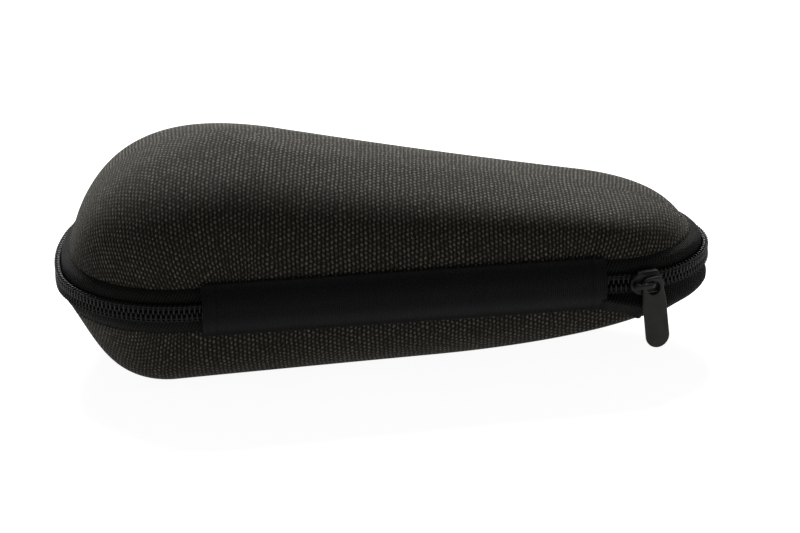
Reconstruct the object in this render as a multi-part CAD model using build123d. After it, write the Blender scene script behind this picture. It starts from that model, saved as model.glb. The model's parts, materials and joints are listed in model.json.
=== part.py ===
"""Zipped hard case for an electric shaver.

Two moulded halves, each a laminate of woven cover, foam and lining, are joined by a
cloth hinge band along one long side and by a coil zip round the rest of the rim.

While modelling, X runs along the case with the shaver's head end at -X, the hinge side
is at -Y, Z is up, and z = 0 is the middle of the zip chain. The finished case is then
stood on its foot, with the origin at the bottom centre of its box.
"""
import os
from math import acos, atan2, cos, degrees, hypot, radians, sin, sqrt

from build123d import *

# ---- Plan outline, at the crest of the zip chain (mm) ----
CASE_LENGTH = 195.0
HEAD_HALF_WIDTH = 47.7
HEAD_CORNER_RADIUS = 36.6
HEAD_END_RADIUS = 93.6
HANDLE_END_RADIUS = 30.9

# ---- Laminate of the moulded halves ----
COVER_THICKNESS = 0.8
FOAM_THICKNESS = 3.2
LINING_THICKNESS = 0.6

# ---- Crease, where each half meets its zip tape ----
CREASE_INSET = 3.7
LID_CREASE = 6.6
BASE_CREASE = 7.5

# ---- Lid dome ----
LID_HEAD_HEIGHT = 39.4
LID_HANDLE_HEIGHT = 18.5
LID_HEAD_ROUNDING = 46.4
LID_HANDLE_ROUNDING = 28.0
LID_HEAD_DRAFT = 0.376
LID_HANDLE_DRAFT = 1.03
LID_SIDE_DRAFT = 0.141
LID_SIDE_POWER = 2.53
LID_HEAD_POWER = 2.78
LID_HANDLE_POWER = 3.48
LID_RING_ANGLES = (0, 15, 30, 43, 55, 66, 75, 82.5)

# ---- Base tray ----
BASE_DEPTH = 27.2
FOOT_WIDTH_SHARE = 0.45
BASE_HEAD_ROUNDING = 14.0
BASE_HEAD_DRAFT = 0.572
BASE_SIDE_DRAFT = 0.037
BASE_HEAD_POWER = 4.2
BASE_SIDE_POWER = 3.1
KEEL_RUN = 80.0
KEEL_POWER = 2.2
KEEL_ROUNDING = 22.0
BASE_RING_ANGLES = (0, 14, 28, 42, 55, 67, 77, 84)

# ---- Zip ----
CHAIN_HALF_WIDTH = 2.65
CHAIN_PARTING = 0.45
COIL_THICKNESS = 2.0
COIL_ROUNDING = 0.6
FILLER_CORD_RADIUS = 0.45
TAPE_THICKNESS = 0.8
TAPE_SHOULDER = 0.3
TAPE_BEND_EASE = 0.2
SEAM_ALLOWANCE = 4.3
ZIP_TUCK = 10.0

# ---- Rim binding and its stitches ----
BINDING_THICKNESS = 0.8
BINDING_REACH = 3.4
BINDING_LIP = 0.6
STITCH_PITCH = 5.0
STITCH_LENGTH = 3.2
STITCH_WIDTH = 0.5
STITCH_THICKNESS = 0.25

# ---- Hinge band ----
BAND_START = 3.7
BAND_END_MARGIN = 5.3
BAND_THICKNESS = 0.8
BAND_PROUD = 0.9
BAND_LAP = 0.9
BAND_CLEARANCE = 0.35
SEAM_SLOT_CLEARANCE = 0.15

# ---- Slider and pull tab ----
SLIDER_ANGLE = -71.0
SLIDER_LENGTH = 9.5
SLIDER_NOSE_NARROWING = 0.5
SLIDER_PLATE = 1.0
SLIDER_FLANGE = 0.7
SLIDER_FLANGE_REACH = 1.6
SLIDER_CLEARANCE = 0.25
SLIDER_BACK_CLEARANCE = 0.7
SLIDER_BACK_HALF_WIDTH = 2.6
SLIDER_WEB_THICKNESS = 0.5
SLIDER_WEB_LENGTH = 2.2
BAIL_WIDTH = 1.5
BAIL_THICKNESS = 1.1
BAIL_SPAN = 5.2
BAIL_TAIL_X = 1.6
TAB_LENGTH = 22.2
TAB_WIDTH = 7.3
TAB_SHOULDER = 4.3
TAB_EYE_RADIUS = 2.1
TAB_EYE_RING = 3.2
TAB_THICKNESS = 1.25
TAB_LEAN = 5.5
TAB_CLEARANCE = 0.15

# ---- Worked out from the sizes above ----
HALF_LENGTH = CASE_LENGTH / 2
CORNER_Y = HEAD_HALF_WIDTH - HEAD_CORNER_RADIUS
END_X = HEAD_END_RADIUS - HALF_LENGTH
CORNER_X = END_X - sqrt((HEAD_END_RADIUS - HEAD_CORNER_RADIUS) ** 2 - CORNER_Y**2)
HANDLE_X = HALF_LENGTH - HANDLE_END_RADIUS
CORNER_END_ANGLE = atan2(CORNER_Y, CORNER_X - END_X)
SIDE_RUN = hypot(HANDLE_X - CORNER_X, CORNER_Y)
SIDE_ANGLE = acos((HEAD_CORNER_RADIUS - HANDLE_END_RADIUS) / SIDE_RUN) - atan2(
    CORNER_Y, HANDLE_X - CORNER_X
)
SIDE_LENGTH = sqrt(SIDE_RUN**2 - (HEAD_CORNER_RADIUS - HANDLE_END_RADIUS) ** 2)
BAND_END = SIDE_LENGTH - BAND_END_MARGIN
LINING_DEPTH = COVER_THICKNESS + FOAM_THICKNESS
LAMINATE = LINING_DEPTH + LINING_THICKNESS
SEAM_INSET = CREASE_INSET + SEAM_ALLOWANCE


def polar(centre_x, centre_y, radius, angle):
    """Point at a radius and an angle in radians from a centre."""
    return Vector(centre_x + radius * cos(angle), centre_y + radius * sin(angle))


def outline_points(inset):
    """Tangent points of the plan outline on the +Y side, from handle end to head end."""
    handle = polar(HANDLE_X, 0, HANDLE_END_RADIUS - inset, SIDE_ANGLE)
    corner = HEAD_CORNER_RADIUS - inset
    side = polar(CORNER_X, CORNER_Y, corner, SIDE_ANGLE)
    bend = polar(CORNER_X, CORNER_Y, corner, (SIDE_ANGLE + CORNER_END_ANGLE) / 2)
    end = polar(CORNER_X, CORNER_Y, corner, CORNER_END_ANGLE)
    return handle, side, bend, end


def mirrored(point):
    """The same point on the -Y side."""
    return Vector(point.X, -point.Y)


def outline_face(inset):
    """Plan outline as a face, the given distance inside the crest of the zip chain."""
    handle, side, bend, end = outline_points(inset)
    tip = (HALF_LENGTH - inset, 0)
    nose = (inset - HALF_LENGTH, 0)
    edges = [
        ThreePointArc(mirrored(handle), tip, handle),
        Line(handle, side),
        ThreePointArc(side, bend, end),
        ThreePointArc(end, nose, mirrored(end)),
        ThreePointArc(mirrored(end), mirrored(bend), mirrored(side)),
        Line(mirrored(side), mirrored(handle)),
    ]
    return make_face(edges)


def ring_band(outer_inset, inner_inset, low, high):
    """Upright band that follows the whole rim between two insets and two heights."""
    flat = outline_face(outer_inset) - outline_face(inner_inset)
    return extrude(Pos(0, 0, low) * flat, high - low)


def placed_ring(inset, head, handle, width_share):
    """Outline face, scaled in plan and tilted to run from one (x, z) to another."""
    run = hypot(handle[0] - head[0], handle[1] - head[1])
    tilt = degrees(atan2(handle[1] - head[1], handle[0] - head[0]))
    length = CASE_LENGTH - 2 * inset
    flat = scale(outline_face(inset), by=(run / length, width_share, 1))
    middle = Pos((head[0] + handle[0]) / 2, 0, (head[1] + handle[1]) / 2)
    return middle * Rot(0, -tilt, 0) * flat


def closing(share, power):
    """How far a rounded wall has closed in, from 0 at its foot to 1 at its crown."""
    return 1 - max(0, 1 - share**power) ** (1 / power)


def lid_ring(depth, angle):
    """One ring of the lid's surface that lies the given depth under the cover."""
    rise = sin(radians(angle))
    inset = CREASE_INSET + depth
    swing = cos(radians(angle))
    head_share = rise ** (2 / LID_HEAD_POWER)
    handle_share = rise ** (2 / LID_HANDLE_POWER)
    head_rise = (LID_HEAD_HEIGHT - depth - LID_CREASE) * head_share
    handle_rise = (LID_HANDLE_HEIGHT - depth - LID_CREASE) * handle_share
    head_x = inset - HALF_LENGTH + LID_HEAD_DRAFT * head_rise
    head_x += LID_HEAD_ROUNDING * (1 - swing ** (2 / LID_HEAD_POWER))
    handle_x = HALF_LENGTH - inset - LID_HANDLE_DRAFT * handle_rise
    handle_x -= LID_HANDLE_ROUNDING * (1 - swing ** (2 / LID_HANDLE_POWER))
    drafted = 1 - LID_SIDE_DRAFT * (head_rise + handle_rise) / 2 / (HEAD_HALF_WIDTH - inset)
    width_share = drafted * swing ** (2 / LID_SIDE_POWER)
    head = (head_x, LID_CREASE + head_rise)
    handle = (handle_x, LID_CREASE + handle_rise)
    return placed_ring(inset, head, handle, width_share)


def base_ring(depth, angle):
    """One level ring of the base's surface that lies the given depth inside the cover."""
    share = sin(radians(angle))
    inset = CREASE_INSET + depth
    drop = (BASE_DEPTH - depth - BASE_CREASE) * share
    head_x = inset - HALF_LENGTH + BASE_HEAD_DRAFT * drop
    head_x += BASE_HEAD_ROUNDING * closing(share, BASE_HEAD_POWER)
    handle_x = HALF_LENGTH - inset - KEEL_RUN * share**KEEL_POWER
    handle_x -= KEEL_ROUNDING * closing(share, 2)
    drafted = 1 - BASE_SIDE_DRAFT * drop / (HEAD_HALF_WIDTH - inset)
    width_share = drafted * (1 - (1 - FOOT_WIDTH_SHARE) * closing(share, BASE_SIDE_POWER))
    level = -BASE_CREASE - drop
    return placed_ring(inset, (head_x, level), (handle_x, level), width_share)


def dome(ring, angles, depth):
    """Solid under one surface of a moulded half, from its crease to its crown."""
    return loft([ring(depth, angle) for angle in angles])


def moulded_layer(ring, angles, depth, thickness, crease):
    """One layer of a moulded half, open at the crease."""
    inner = dome(ring, angles, depth + thickness)
    mouth = extrude(Pos(0, 0, crease) * outline_face(CREASE_INSET + depth + thickness), 1)
    if crease > 0:
        mouth = Pos(0, 0, -1) * mouth
    return dome(ring, angles, depth) - inner - mouth


def lid_layer(depth, thickness):
    """One layer of the lid."""
    return moulded_layer(lid_ring, LID_RING_ANGLES, depth, thickness, LID_CREASE)


def base_layer(depth, thickness):
    """One layer of the base."""
    return moulded_layer(base_ring, BASE_RING_ANGLES, depth, thickness, -BASE_CREASE)


def near_side_point(distance):
    """Point on the straight hinge side, measured from its head end."""
    handle, side = (mirrored(point) for point in outline_points(0)[:2])
    return side + (handle - side).normalized() * distance


def zip_path():
    """Rim line of the zip, from under one end of the hinge band round to the other."""
    handle, side, bend, end = outline_points(0)
    start = near_side_point(BAND_END - ZIP_TUCK)
    finish = near_side_point(BAND_START + ZIP_TUCK)
    edges = [
        Line(start, mirrored(handle)),
        ThreePointArc(mirrored(handle), (HALF_LENGTH, 0), handle),
        Line(handle, side),
        ThreePointArc(side, bend, end),
        ThreePointArc(end, (-HALF_LENGTH, 0), mirrored(end)),
        ThreePointArc(mirrored(end), mirrored(bend), mirrored(side)),
        Line(mirrored(side), finish),
    ]
    return Wire(edges)


def band_path():
    """Rim line of the hinge band, along the straight hinge side."""
    return Wire([Line(near_side_point(BAND_START), near_side_point(BAND_END))])


def lining_path():
    """Rim line of the hinge lining, which fills the rim between the two zip ends."""
    start = near_side_point(BAND_START + ZIP_TUCK)
    finish = near_side_point(BAND_END - ZIP_TUCK)
    return Wire([Line(start, finish)])


def along_rim(section, path):
    """Sweep a section drawn as (inset, height) along a rim line."""
    plane = Plane(path @ 0, x_dir=Vector(0, 0, 1).cross(path % 0), z_dir=path % 0)
    return sweep(plane * section, path)


def polygon(points):
    """Closed polygon face."""
    return make_face(Polyline(*points, close=True))


def tape_section(side, crease):
    """Section of a zip tape: seam allowance, sloping wall and coil bed.

    side is 1 for the upper tape and -1 for the lower one.
    """
    shoulder = side * (CHAIN_HALF_WIDTH + TAPE_SHOULDER)
    edge = side * CHAIN_PARTING
    crease_in = side * (crease - TAPE_THICKNESS)
    return polygon(
        [
            (SEAM_INSET, side * crease),
            (CREASE_INSET, side * crease),
            (COIL_THICKNESS, shoulder),
            (COIL_THICKNESS, edge),
            (COIL_THICKNESS + TAPE_THICKNESS, edge),
            (COIL_THICKNESS + TAPE_THICKNESS, shoulder - side * TAPE_BEND_EASE),
            (CREASE_INSET + TAPE_THICKNESS, crease_in),
            (SEAM_INSET, crease_in),
        ]
    )


def coil_section(side):
    """Section of one half of the coil chain, with the bore for its filler cord."""
    width = CHAIN_HALF_WIDTH - CHAIN_PARTING
    bar = RectangleRounded(COIL_THICKNESS, width, COIL_ROUNDING)
    bore = Circle(FILLER_CORD_RADIUS)
    return Pos(COIL_THICKNESS / 2, side * (CHAIN_PARTING + width / 2)) * (bar - bore)


def cord_section(side):
    """Section of the filler cord inside one half of the coil chain."""
    middle = (CHAIN_PARTING + CHAIN_HALF_WIDTH) / 2
    return Pos(COIL_THICKNESS / 2, side * middle) * Circle(FILLER_CORD_RADIUS)


def hinge_lining_section():
    """Section of the inner hinge cloth, from the lid's seam slot to the base's seam."""
    bed = COIL_THICKNESS
    back = COIL_THICKNESS + TAPE_THICKNESS
    shoulder = CHAIN_HALF_WIDTH + TAPE_SHOULDER
    lid_top = LID_CREASE - SEAM_SLOT_CLEARANCE
    lid_low = LID_CREASE - TAPE_THICKNESS + SEAM_SLOT_CLEARANCE
    base_top = TAPE_THICKNESS - BASE_CREASE
    inner_bend = CREASE_INSET + TAPE_THICKNESS
    return polygon(
        [
            (SEAM_INSET, lid_top),
            (CREASE_INSET, lid_top),
            (bed, shoulder),
            (bed, -shoulder),
            (CREASE_INSET, -BASE_CREASE),
            (SEAM_INSET, -BASE_CREASE),
            (SEAM_INSET, base_top),
            (inner_bend, base_top),
            (back, TAPE_BEND_EASE - shoulder),
            (back, shoulder - TAPE_BEND_EASE),
            (inner_bend, lid_low),
            (SEAM_INSET, lid_low),
        ]
    )


def hinge_band_section():
    """Section of the outer hinge band, which bows over both creases."""
    inner = CREASE_INSET - BAND_CLEARANCE
    shoulder = CHAIN_HALF_WIDTH + TAPE_SHOULDER
    lid_edge = LID_CREASE + BAND_LAP
    base_edge = BASE_CREASE + BAND_LAP
    return polygon(
        [
            (inner, lid_edge),
            (inner - BAND_THICKNESS, lid_edge),
            (-BAND_PROUD, shoulder),
            (-BAND_PROUD, -shoulder),
            (inner - BAND_THICKNESS, -base_edge),
            (inner, -base_edge),
            (BAND_THICKNESS - BAND_PROUD, -shoulder),
            (BAND_THICKNESS - BAND_PROUD, shoulder),
        ]
    )


def rim_binding(side, crease):
    """Ribbon round the inside of the rim that covers the seam allowance."""
    seam_face = crease - TAPE_THICKNESS
    low = seam_face - BINDING_THICKNESS
    outer = SEAM_INSET - BINDING_REACH
    lip = CREASE_INSET + LAMINATE
    flat = ring_band(outer, lip + BINDING_LIP, low, seam_face)
    upright = ring_band(lip, lip + BINDING_LIP, seam_face, crease)
    ribbon = flat + upright
    return ribbon if side > 0 else mirror(ribbon, Plane.XY)


def binding_stitches(side, crease):
    """Row of stitches that holds the binding, as separate short threads."""
    inset = SEAM_INSET - BINDING_REACH / 2
    face = crease - TAPE_THICKNESS - BINDING_THICKNESS
    row = outline_face(inset).face().outer_wire()
    count = round(row.length / STITCH_PITCH)
    stitch = Box(STITCH_LENGTH, STITCH_WIDTH, STITCH_THICKNESS)
    stitches = []
    for index in range(count):
        share = index / count
        point = row @ share
        heading = degrees(atan2((row % share).Y, (row % share).X))
        height = side * (face - STITCH_THICKNESS / 2)
        stitches.append(Pos(point.X, point.Y, height) * Rot(0, 0, heading) * stitch)
    return Compound(children=stitches)


def slider_plane():
    """Plane on the chain's crest at the slider: x along the chain, y up, z outward."""
    angle = radians(SLIDER_ANGLE)
    origin = polar(HANDLE_X, 0, HANDLE_END_RADIUS, angle)
    return Plane(origin, x_dir=(-sin(angle), cos(angle), 0), z_dir=(cos(angle), sin(angle), 0))


def between(x_range, y_range, z_range):
    """Box between two limits on each axis."""
    spans = [high - low for low, high in (x_range, y_range, z_range)]
    middle = [(high + low) / 2 for low, high in (x_range, y_range, z_range)]
    return Pos(*middle) * Box(*spans)


def slider_body():
    """Zip slider with its two plates, flanges, web and bail in one casting."""
    half = SLIDER_LENGTH / 2
    gap = CHAIN_HALF_WIDTH + SLIDER_CLEARANCE
    width = gap + SLIDER_FLANGE
    plate_low = SLIDER_CLEARANCE
    plate_top = plate_low + SLIDER_PLATE
    tail_width = width - SLIDER_NOSE_NARROWING
    plan = polygon([(-half, -width), (half, -tail_width), (half, tail_width), (-half, width)])
    plate = extrude(Pos(0, 0, plate_low) * plan, SLIDER_PLATE)
    plate = fillet(plate.edges().filter_by(Axis.Z), SLIDER_FLANGE)
    flange_x = (SLIDER_FLANGE - half, half - SLIDER_FLANGE)
    flange_z = (-SLIDER_FLANGE_REACH, plate_low)
    upper = between(flange_x, (gap, tail_width), flange_z)
    lower = between(flange_x, (-tail_width, -gap), flange_z)
    back_face = -COIL_THICKNESS - TAPE_THICKNESS - SLIDER_BACK_CLEARANCE
    back_width = (-SLIDER_BACK_HALF_WIDTH, SLIDER_BACK_HALF_WIDTH)
    back = between(flange_x, back_width, (back_face - SLIDER_PLATE, back_face))
    web_x = (SLIDER_FLANGE - half, SLIDER_FLANGE - half + SLIDER_WEB_LENGTH)
    web_y = (-SLIDER_WEB_THICKNESS / 2, SLIDER_WEB_THICKNESS / 2)
    web = between(web_x, web_y, (back_face, plate_low))
    return plate + upper + lower + back + web + slider_bail(plate_top)


def slider_bail(plate_top):
    """Bail over the slider, with a round post at its tail for the pull tab's eye."""
    bar_low = plate_top + TAB_THICKNESS + 2 * SLIDER_CLEARANCE
    bar_z = (bar_low, bar_low + BAIL_THICKNESS)
    nose_x = BAIL_TAIL_X - BAIL_SPAN
    radius = BAIL_WIDTH / 2
    bar = between((nose_x, BAIL_TAIL_X), (-radius, radius), bar_z)
    height = bar_z[1] - plate_top
    post = Pos(BAIL_TAIL_X, 0, plate_top + height / 2) * Cylinder(radius, height)
    nose = Pos(nose_x, 0, plate_top + height / 2) * Cylinder(radius, height)
    return bar + post + nose


def pull_tab():
    """Flat pull tab that hangs by its eye on the bail's tail post."""
    low = SLIDER_CLEARANCE + SLIDER_PLATE + SLIDER_CLEARANCE
    end_radius = TAB_WIDTH / 2
    foot = TAB_EYE_RING - TAB_LENGTH + end_radius
    ring = Circle(TAB_EYE_RING)
    neck = polygon(
        [
            (-TAB_EYE_RING, 0),
            (TAB_EYE_RING, 0),
            (end_radius, -TAB_SHOULDER),
            (end_radius, foot),
            (-end_radius, foot),
            (-end_radius, -TAB_SHOULDER),
        ]
    )
    end = Pos(0, foot) * Circle(end_radius)
    flat = ring + neck + end - Circle(TAB_EYE_RADIUS)
    hang = TAB_EYE_RADIUS - BAIL_WIDTH / 2 - TAB_CLEARANCE
    tab = extrude(Pos(0, -hang, low) * flat, TAB_THICKNESS)
    return Pos(BAIL_TAIL_X, 0, 0) * Rot(0, 0, TAB_LEAN) * tab


def build_nodes():
    """Every piece of the case, by node name."""
    upper = 1
    lower = -1
    return {
        "lid_cover": lid_layer(0, COVER_THICKNESS),
        "lid_foam": lid_layer(COVER_THICKNESS, FOAM_THICKNESS),
        "lid_lining": lid_layer(LINING_DEPTH, LINING_THICKNESS),
        "lid_rim_binding": rim_binding(upper, LID_CREASE),
        "lid_binding_stitches": binding_stitches(upper, LID_CREASE),
        "upper_zip_tape": along_rim(tape_section(upper, LID_CREASE), zip_path()),
        "upper_zip_coil": along_rim(coil_section(upper), zip_path()),
        "upper_filler_cord": along_rim(cord_section(upper), zip_path()),
        "base_cover": base_layer(0, COVER_THICKNESS),
        "base_foam": base_layer(COVER_THICKNESS, FOAM_THICKNESS),
        "base_lining": base_layer(LINING_DEPTH, LINING_THICKNESS),
        "base_rim_binding": rim_binding(lower, BASE_CREASE),
        "base_binding_stitches": binding_stitches(lower, BASE_CREASE),
        "lower_zip_tape": along_rim(tape_section(lower, BASE_CREASE), zip_path()),
        "lower_zip_coil": along_rim(coil_section(lower), zip_path()),
        "lower_filler_cord": along_rim(cord_section(lower), zip_path()),
        "hinge_band": along_rim(hinge_band_section(), band_path()),
        "hinge_lining": along_rim(hinge_lining_section(), lining_path()),
        "slider_body": slider_plane().location * slider_body(),
        "pull_tab": slider_plane().location * pull_tab(),
    }


def foot_origin(nodes):
    """Shift that puts the bottom centre of the whole case's box at the origin."""
    boxes = [shape.bounding_box() for shape in nodes.values()]
    middle_x = (min(box.min.X for box in boxes) + max(box.max.X for box in boxes)) / 2
    middle_y = (min(box.min.Y for box in boxes) + max(box.max.Y for box in boxes)) / 2
    return Pos(-middle_x, -middle_y, -min(box.min.Z for box in boxes))


def main():
    """Build the case and write one STEP file for each piece."""
    os.makedirs("parts", exist_ok=True)
    nodes = build_nodes()
    shift = foot_origin(nodes)
    for name, shape in nodes.items():
        export_step(shift * shape, f"parts/{name}.step")
    print("origin shift", [round(v, 4) for v in tuple(shift.position)])


main()
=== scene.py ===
"""Looks of the zipped hard case: moulded halves, coil zip, hinge cloth, slider and tab.

Sizes are in millimetres in the case's own axes: X runs along the case with its head end at
-X, the hinge side is at -Y, and z = 0 is the middle of the zip chain. Across the rim a place
is given by its distance along the rim, its inset from the crest of the chain, and its height.
MeshDraft turns everything into the frame's metres.
"""
import json
import logging
import math
from dataclasses import dataclass
from enum import Enum

import bmesh
import bpy
import numpy as np
from mathutils import Matrix, Vector


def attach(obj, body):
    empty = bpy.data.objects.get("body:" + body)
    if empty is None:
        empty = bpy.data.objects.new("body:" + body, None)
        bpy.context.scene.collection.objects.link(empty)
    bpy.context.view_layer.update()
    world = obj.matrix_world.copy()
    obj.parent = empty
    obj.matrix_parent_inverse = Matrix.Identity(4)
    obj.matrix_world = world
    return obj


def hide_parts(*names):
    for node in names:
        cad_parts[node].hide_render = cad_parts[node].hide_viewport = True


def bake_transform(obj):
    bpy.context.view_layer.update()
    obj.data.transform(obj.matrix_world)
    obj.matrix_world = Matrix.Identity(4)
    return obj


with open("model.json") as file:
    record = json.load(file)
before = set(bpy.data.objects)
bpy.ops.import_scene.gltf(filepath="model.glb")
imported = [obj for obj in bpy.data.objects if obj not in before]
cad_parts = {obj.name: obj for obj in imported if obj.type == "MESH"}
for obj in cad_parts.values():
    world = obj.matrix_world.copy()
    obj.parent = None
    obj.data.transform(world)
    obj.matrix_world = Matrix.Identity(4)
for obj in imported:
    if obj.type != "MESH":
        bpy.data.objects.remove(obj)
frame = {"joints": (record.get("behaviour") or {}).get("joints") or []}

LOG = logging.getLogger("hard_case")
MM = 0.001
TRAVEL_JOINT = next(joint for joint in frame["joints"] if joint["name"] == "slider_travel")
HANDLE_ARC_X = 66.6
ORIGIN = np.array(TRAVEL_JOINT["pos_m"]) - np.array([HANDLE_ARC_X * MM, 0, 0])

# The wall's build-up, and where the pieces meet on the rim.
CREASE_INSET = 3.7
COVER_THICKNESS = 0.8
FOAM_THICKNESS = 3.2
LINING_THICKNESS = 0.6
LINING_DEPTH = COVER_THICKNESS + FOAM_THICKNESS
TAPE_THICKNESS = 0.8
SEAM_INSET = 8.0
CHAIN_HALF_WIDTH = 2.65
COIL_DEPTH = 2.0
BAND_START = 3.7
BAND_END_MARGIN = 5.3
BAND_TUCK = 10.0
# How far in and how far back each ring of the cover's rolled edge lies.
HEM_TURNS = ((0, 0.22), (0.14, 0.42), (0.45, 0.55), (0.85, 0.5))

# How finely shapes are divided, and how thin a cloth is at its edge.
RIM_STEP = 1.4
SPACING_PLACES = np.array([0.42, 0.68])
CLOTH_EDGE = 0.45
WELD_DISTANCE = 2e-6
UP = np.array([0.0, 0.0, 1.0])

# How yarns close in to the crown, the reach of a float in its cell, and stray yarns in metres.
YARN_FAN = 0.06
LIGHT_FLOAT = (0.34, 0.33)
DARK_FLOAT = (0.36, 0.24)
YARN_FRAY = 0.0006
RIB_WANDER = 0.00025

Socket = bpy.types.NodeSocket


class Side(Enum):
    """The two halves of the case, by the sign of their height."""

    LID = 1
    BASE = -1


# ---------------------------------------------------------------- shape tools


def unit(vectors: np.ndarray) -> np.ndarray:
    """Vectors of length one in the same directions."""
    return vectors / np.linalg.norm(vectors, axis=-1, keepdims=True)


def eased(share: np.ndarray) -> np.ndarray:
    """Share between 0 and 1 that starts and ends softly."""
    return np.square(share) * (3 - 2 * share)


def flat_topped(wave: np.ndarray, power: float) -> np.ndarray:
    """Wave between -1 and 1 with flatter tops, the flatter the lower the power."""
    return np.sign(wave) * np.abs(wave) ** power


@dataclass(frozen=True)
class RimOutline:
    """Plan outline at the crest of the zip chain: four arcs and two straight sides.

    Distances along it start at the head end of the hinge side and run round the handle.
    """

    case_length: float = 195.0
    head_half_width: float = 47.7
    head_corner_radius: float = 36.6
    head_end_radius: float = 93.6
    handle_end_radius: float = 30.9

    def spans(self) -> tuple[np.ndarray, np.ndarray]:
        """Work out the arcs and sides.

        Returns:
            Centre x, centre y, radius and normal angle at both ends of each span, and
            the span lengths.
        """
        half = self.case_length / 2
        corner_y = self.head_half_width - self.head_corner_radius
        end_x = self.head_end_radius - half
        reach = self.head_end_radius - self.head_corner_radius
        corner_x = end_x - math.sqrt(reach**2 - corner_y**2)
        handle_x = half - self.handle_end_radius
        run = math.hypot(handle_x - corner_x, corner_y)
        drop = self.head_corner_radius - self.handle_end_radius
        side = math.acos(drop / run) - math.atan2(corner_y, handle_x - corner_x)
        turn = math.atan2(corner_y, corner_x - end_x)
        corner, handle, end = self.head_corner_radius, self.handle_end_radius, self.head_end_radius
        rows = [
            [(corner_x, -corner_y, corner, -side), (handle_x, 0, handle, -side)],
            [(handle_x, 0, handle, -side), (handle_x, 0, handle, side)],
            [(handle_x, 0, handle, side), (corner_x, corner_y, corner, side)],
            [(corner_x, corner_y, corner, side), (corner_x, corner_y, corner, turn)],
            [(end_x, 0, end, turn), (end_x, 0, end, math.tau - turn)],
            [
                (corner_x, -corner_y, corner, math.tau - turn),
                (corner_x, -corner_y, corner, math.tau - side),
            ],
        ]
        spans = np.array(rows, float)
        straight = math.sqrt(run**2 - drop**2)
        arcs = spans[:, 0, 2] * (spans[:, 1, 3] - spans[:, 0, 3])
        return spans, np.where(arcs > 0, arcs, straight)

    def place(self, distance: np.ndarray, inset: np.ndarray, height: np.ndarray) -> np.ndarray:
        """Turn places on the rim into points.

        Args:
            distance: Distances along the rim.
            inset: Distances inside the crest.
            height: Heights.

        Returns:
            Points, with the three coordinates on the last axis.
        """
        distance, inset, height = np.broadcast_arrays(distance, inset, height)
        spans, lengths = self.spans()
        ends = np.cumsum(lengths)
        wrapped = np.mod(distance, ends[-1])
        index = np.searchsorted(ends, wrapped, side="right").clip(max=len(ends) - 1)
        share = (wrapped - (ends - lengths)[index]) / lengths[index]
        low, high = spans[index, 0], spans[index, 1]
        x, y, radius, angle = np.moveaxis(low + (high - low) * share[..., None], -1, 0)
        return np.stack(
            [
                x + (radius - inset) * np.cos(angle),
                y + (radius - inset) * np.sin(angle),
                height,
            ],
            axis=-1,
        )

    def stations(self, step: float) -> np.ndarray:
        """Divide the whole rim, the same way on both long sides.

        Args:
            step: Distance wanted between neighbours.

        Returns:
            Distances along the rim.
        """
        _, lengths = self.spans()
        starts = np.cumsum(lengths) - lengths
        parts = []
        for start, length in zip(starts, lengths):
            count = 2 * max(1, round(length / step / 2))
            parts.append(start + length * np.arange(count) / count)
        return np.concatenate(parts)

    def heading(self, distance: np.ndarray) -> np.ndarray:
        """Direction in which the rim runs, as a short step along it."""
        return self.place(distance + 0.5, 0, 0) - self.place(distance - 0.5, 0, 0)

    def total(self) -> float:
        """Length of the whole rim."""
        return float(self.spans()[1].sum())

    def side_length(self) -> float:
        """Length of one straight side."""
        return float(self.spans()[1][0])


OUTLINE = RimOutline()


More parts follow.
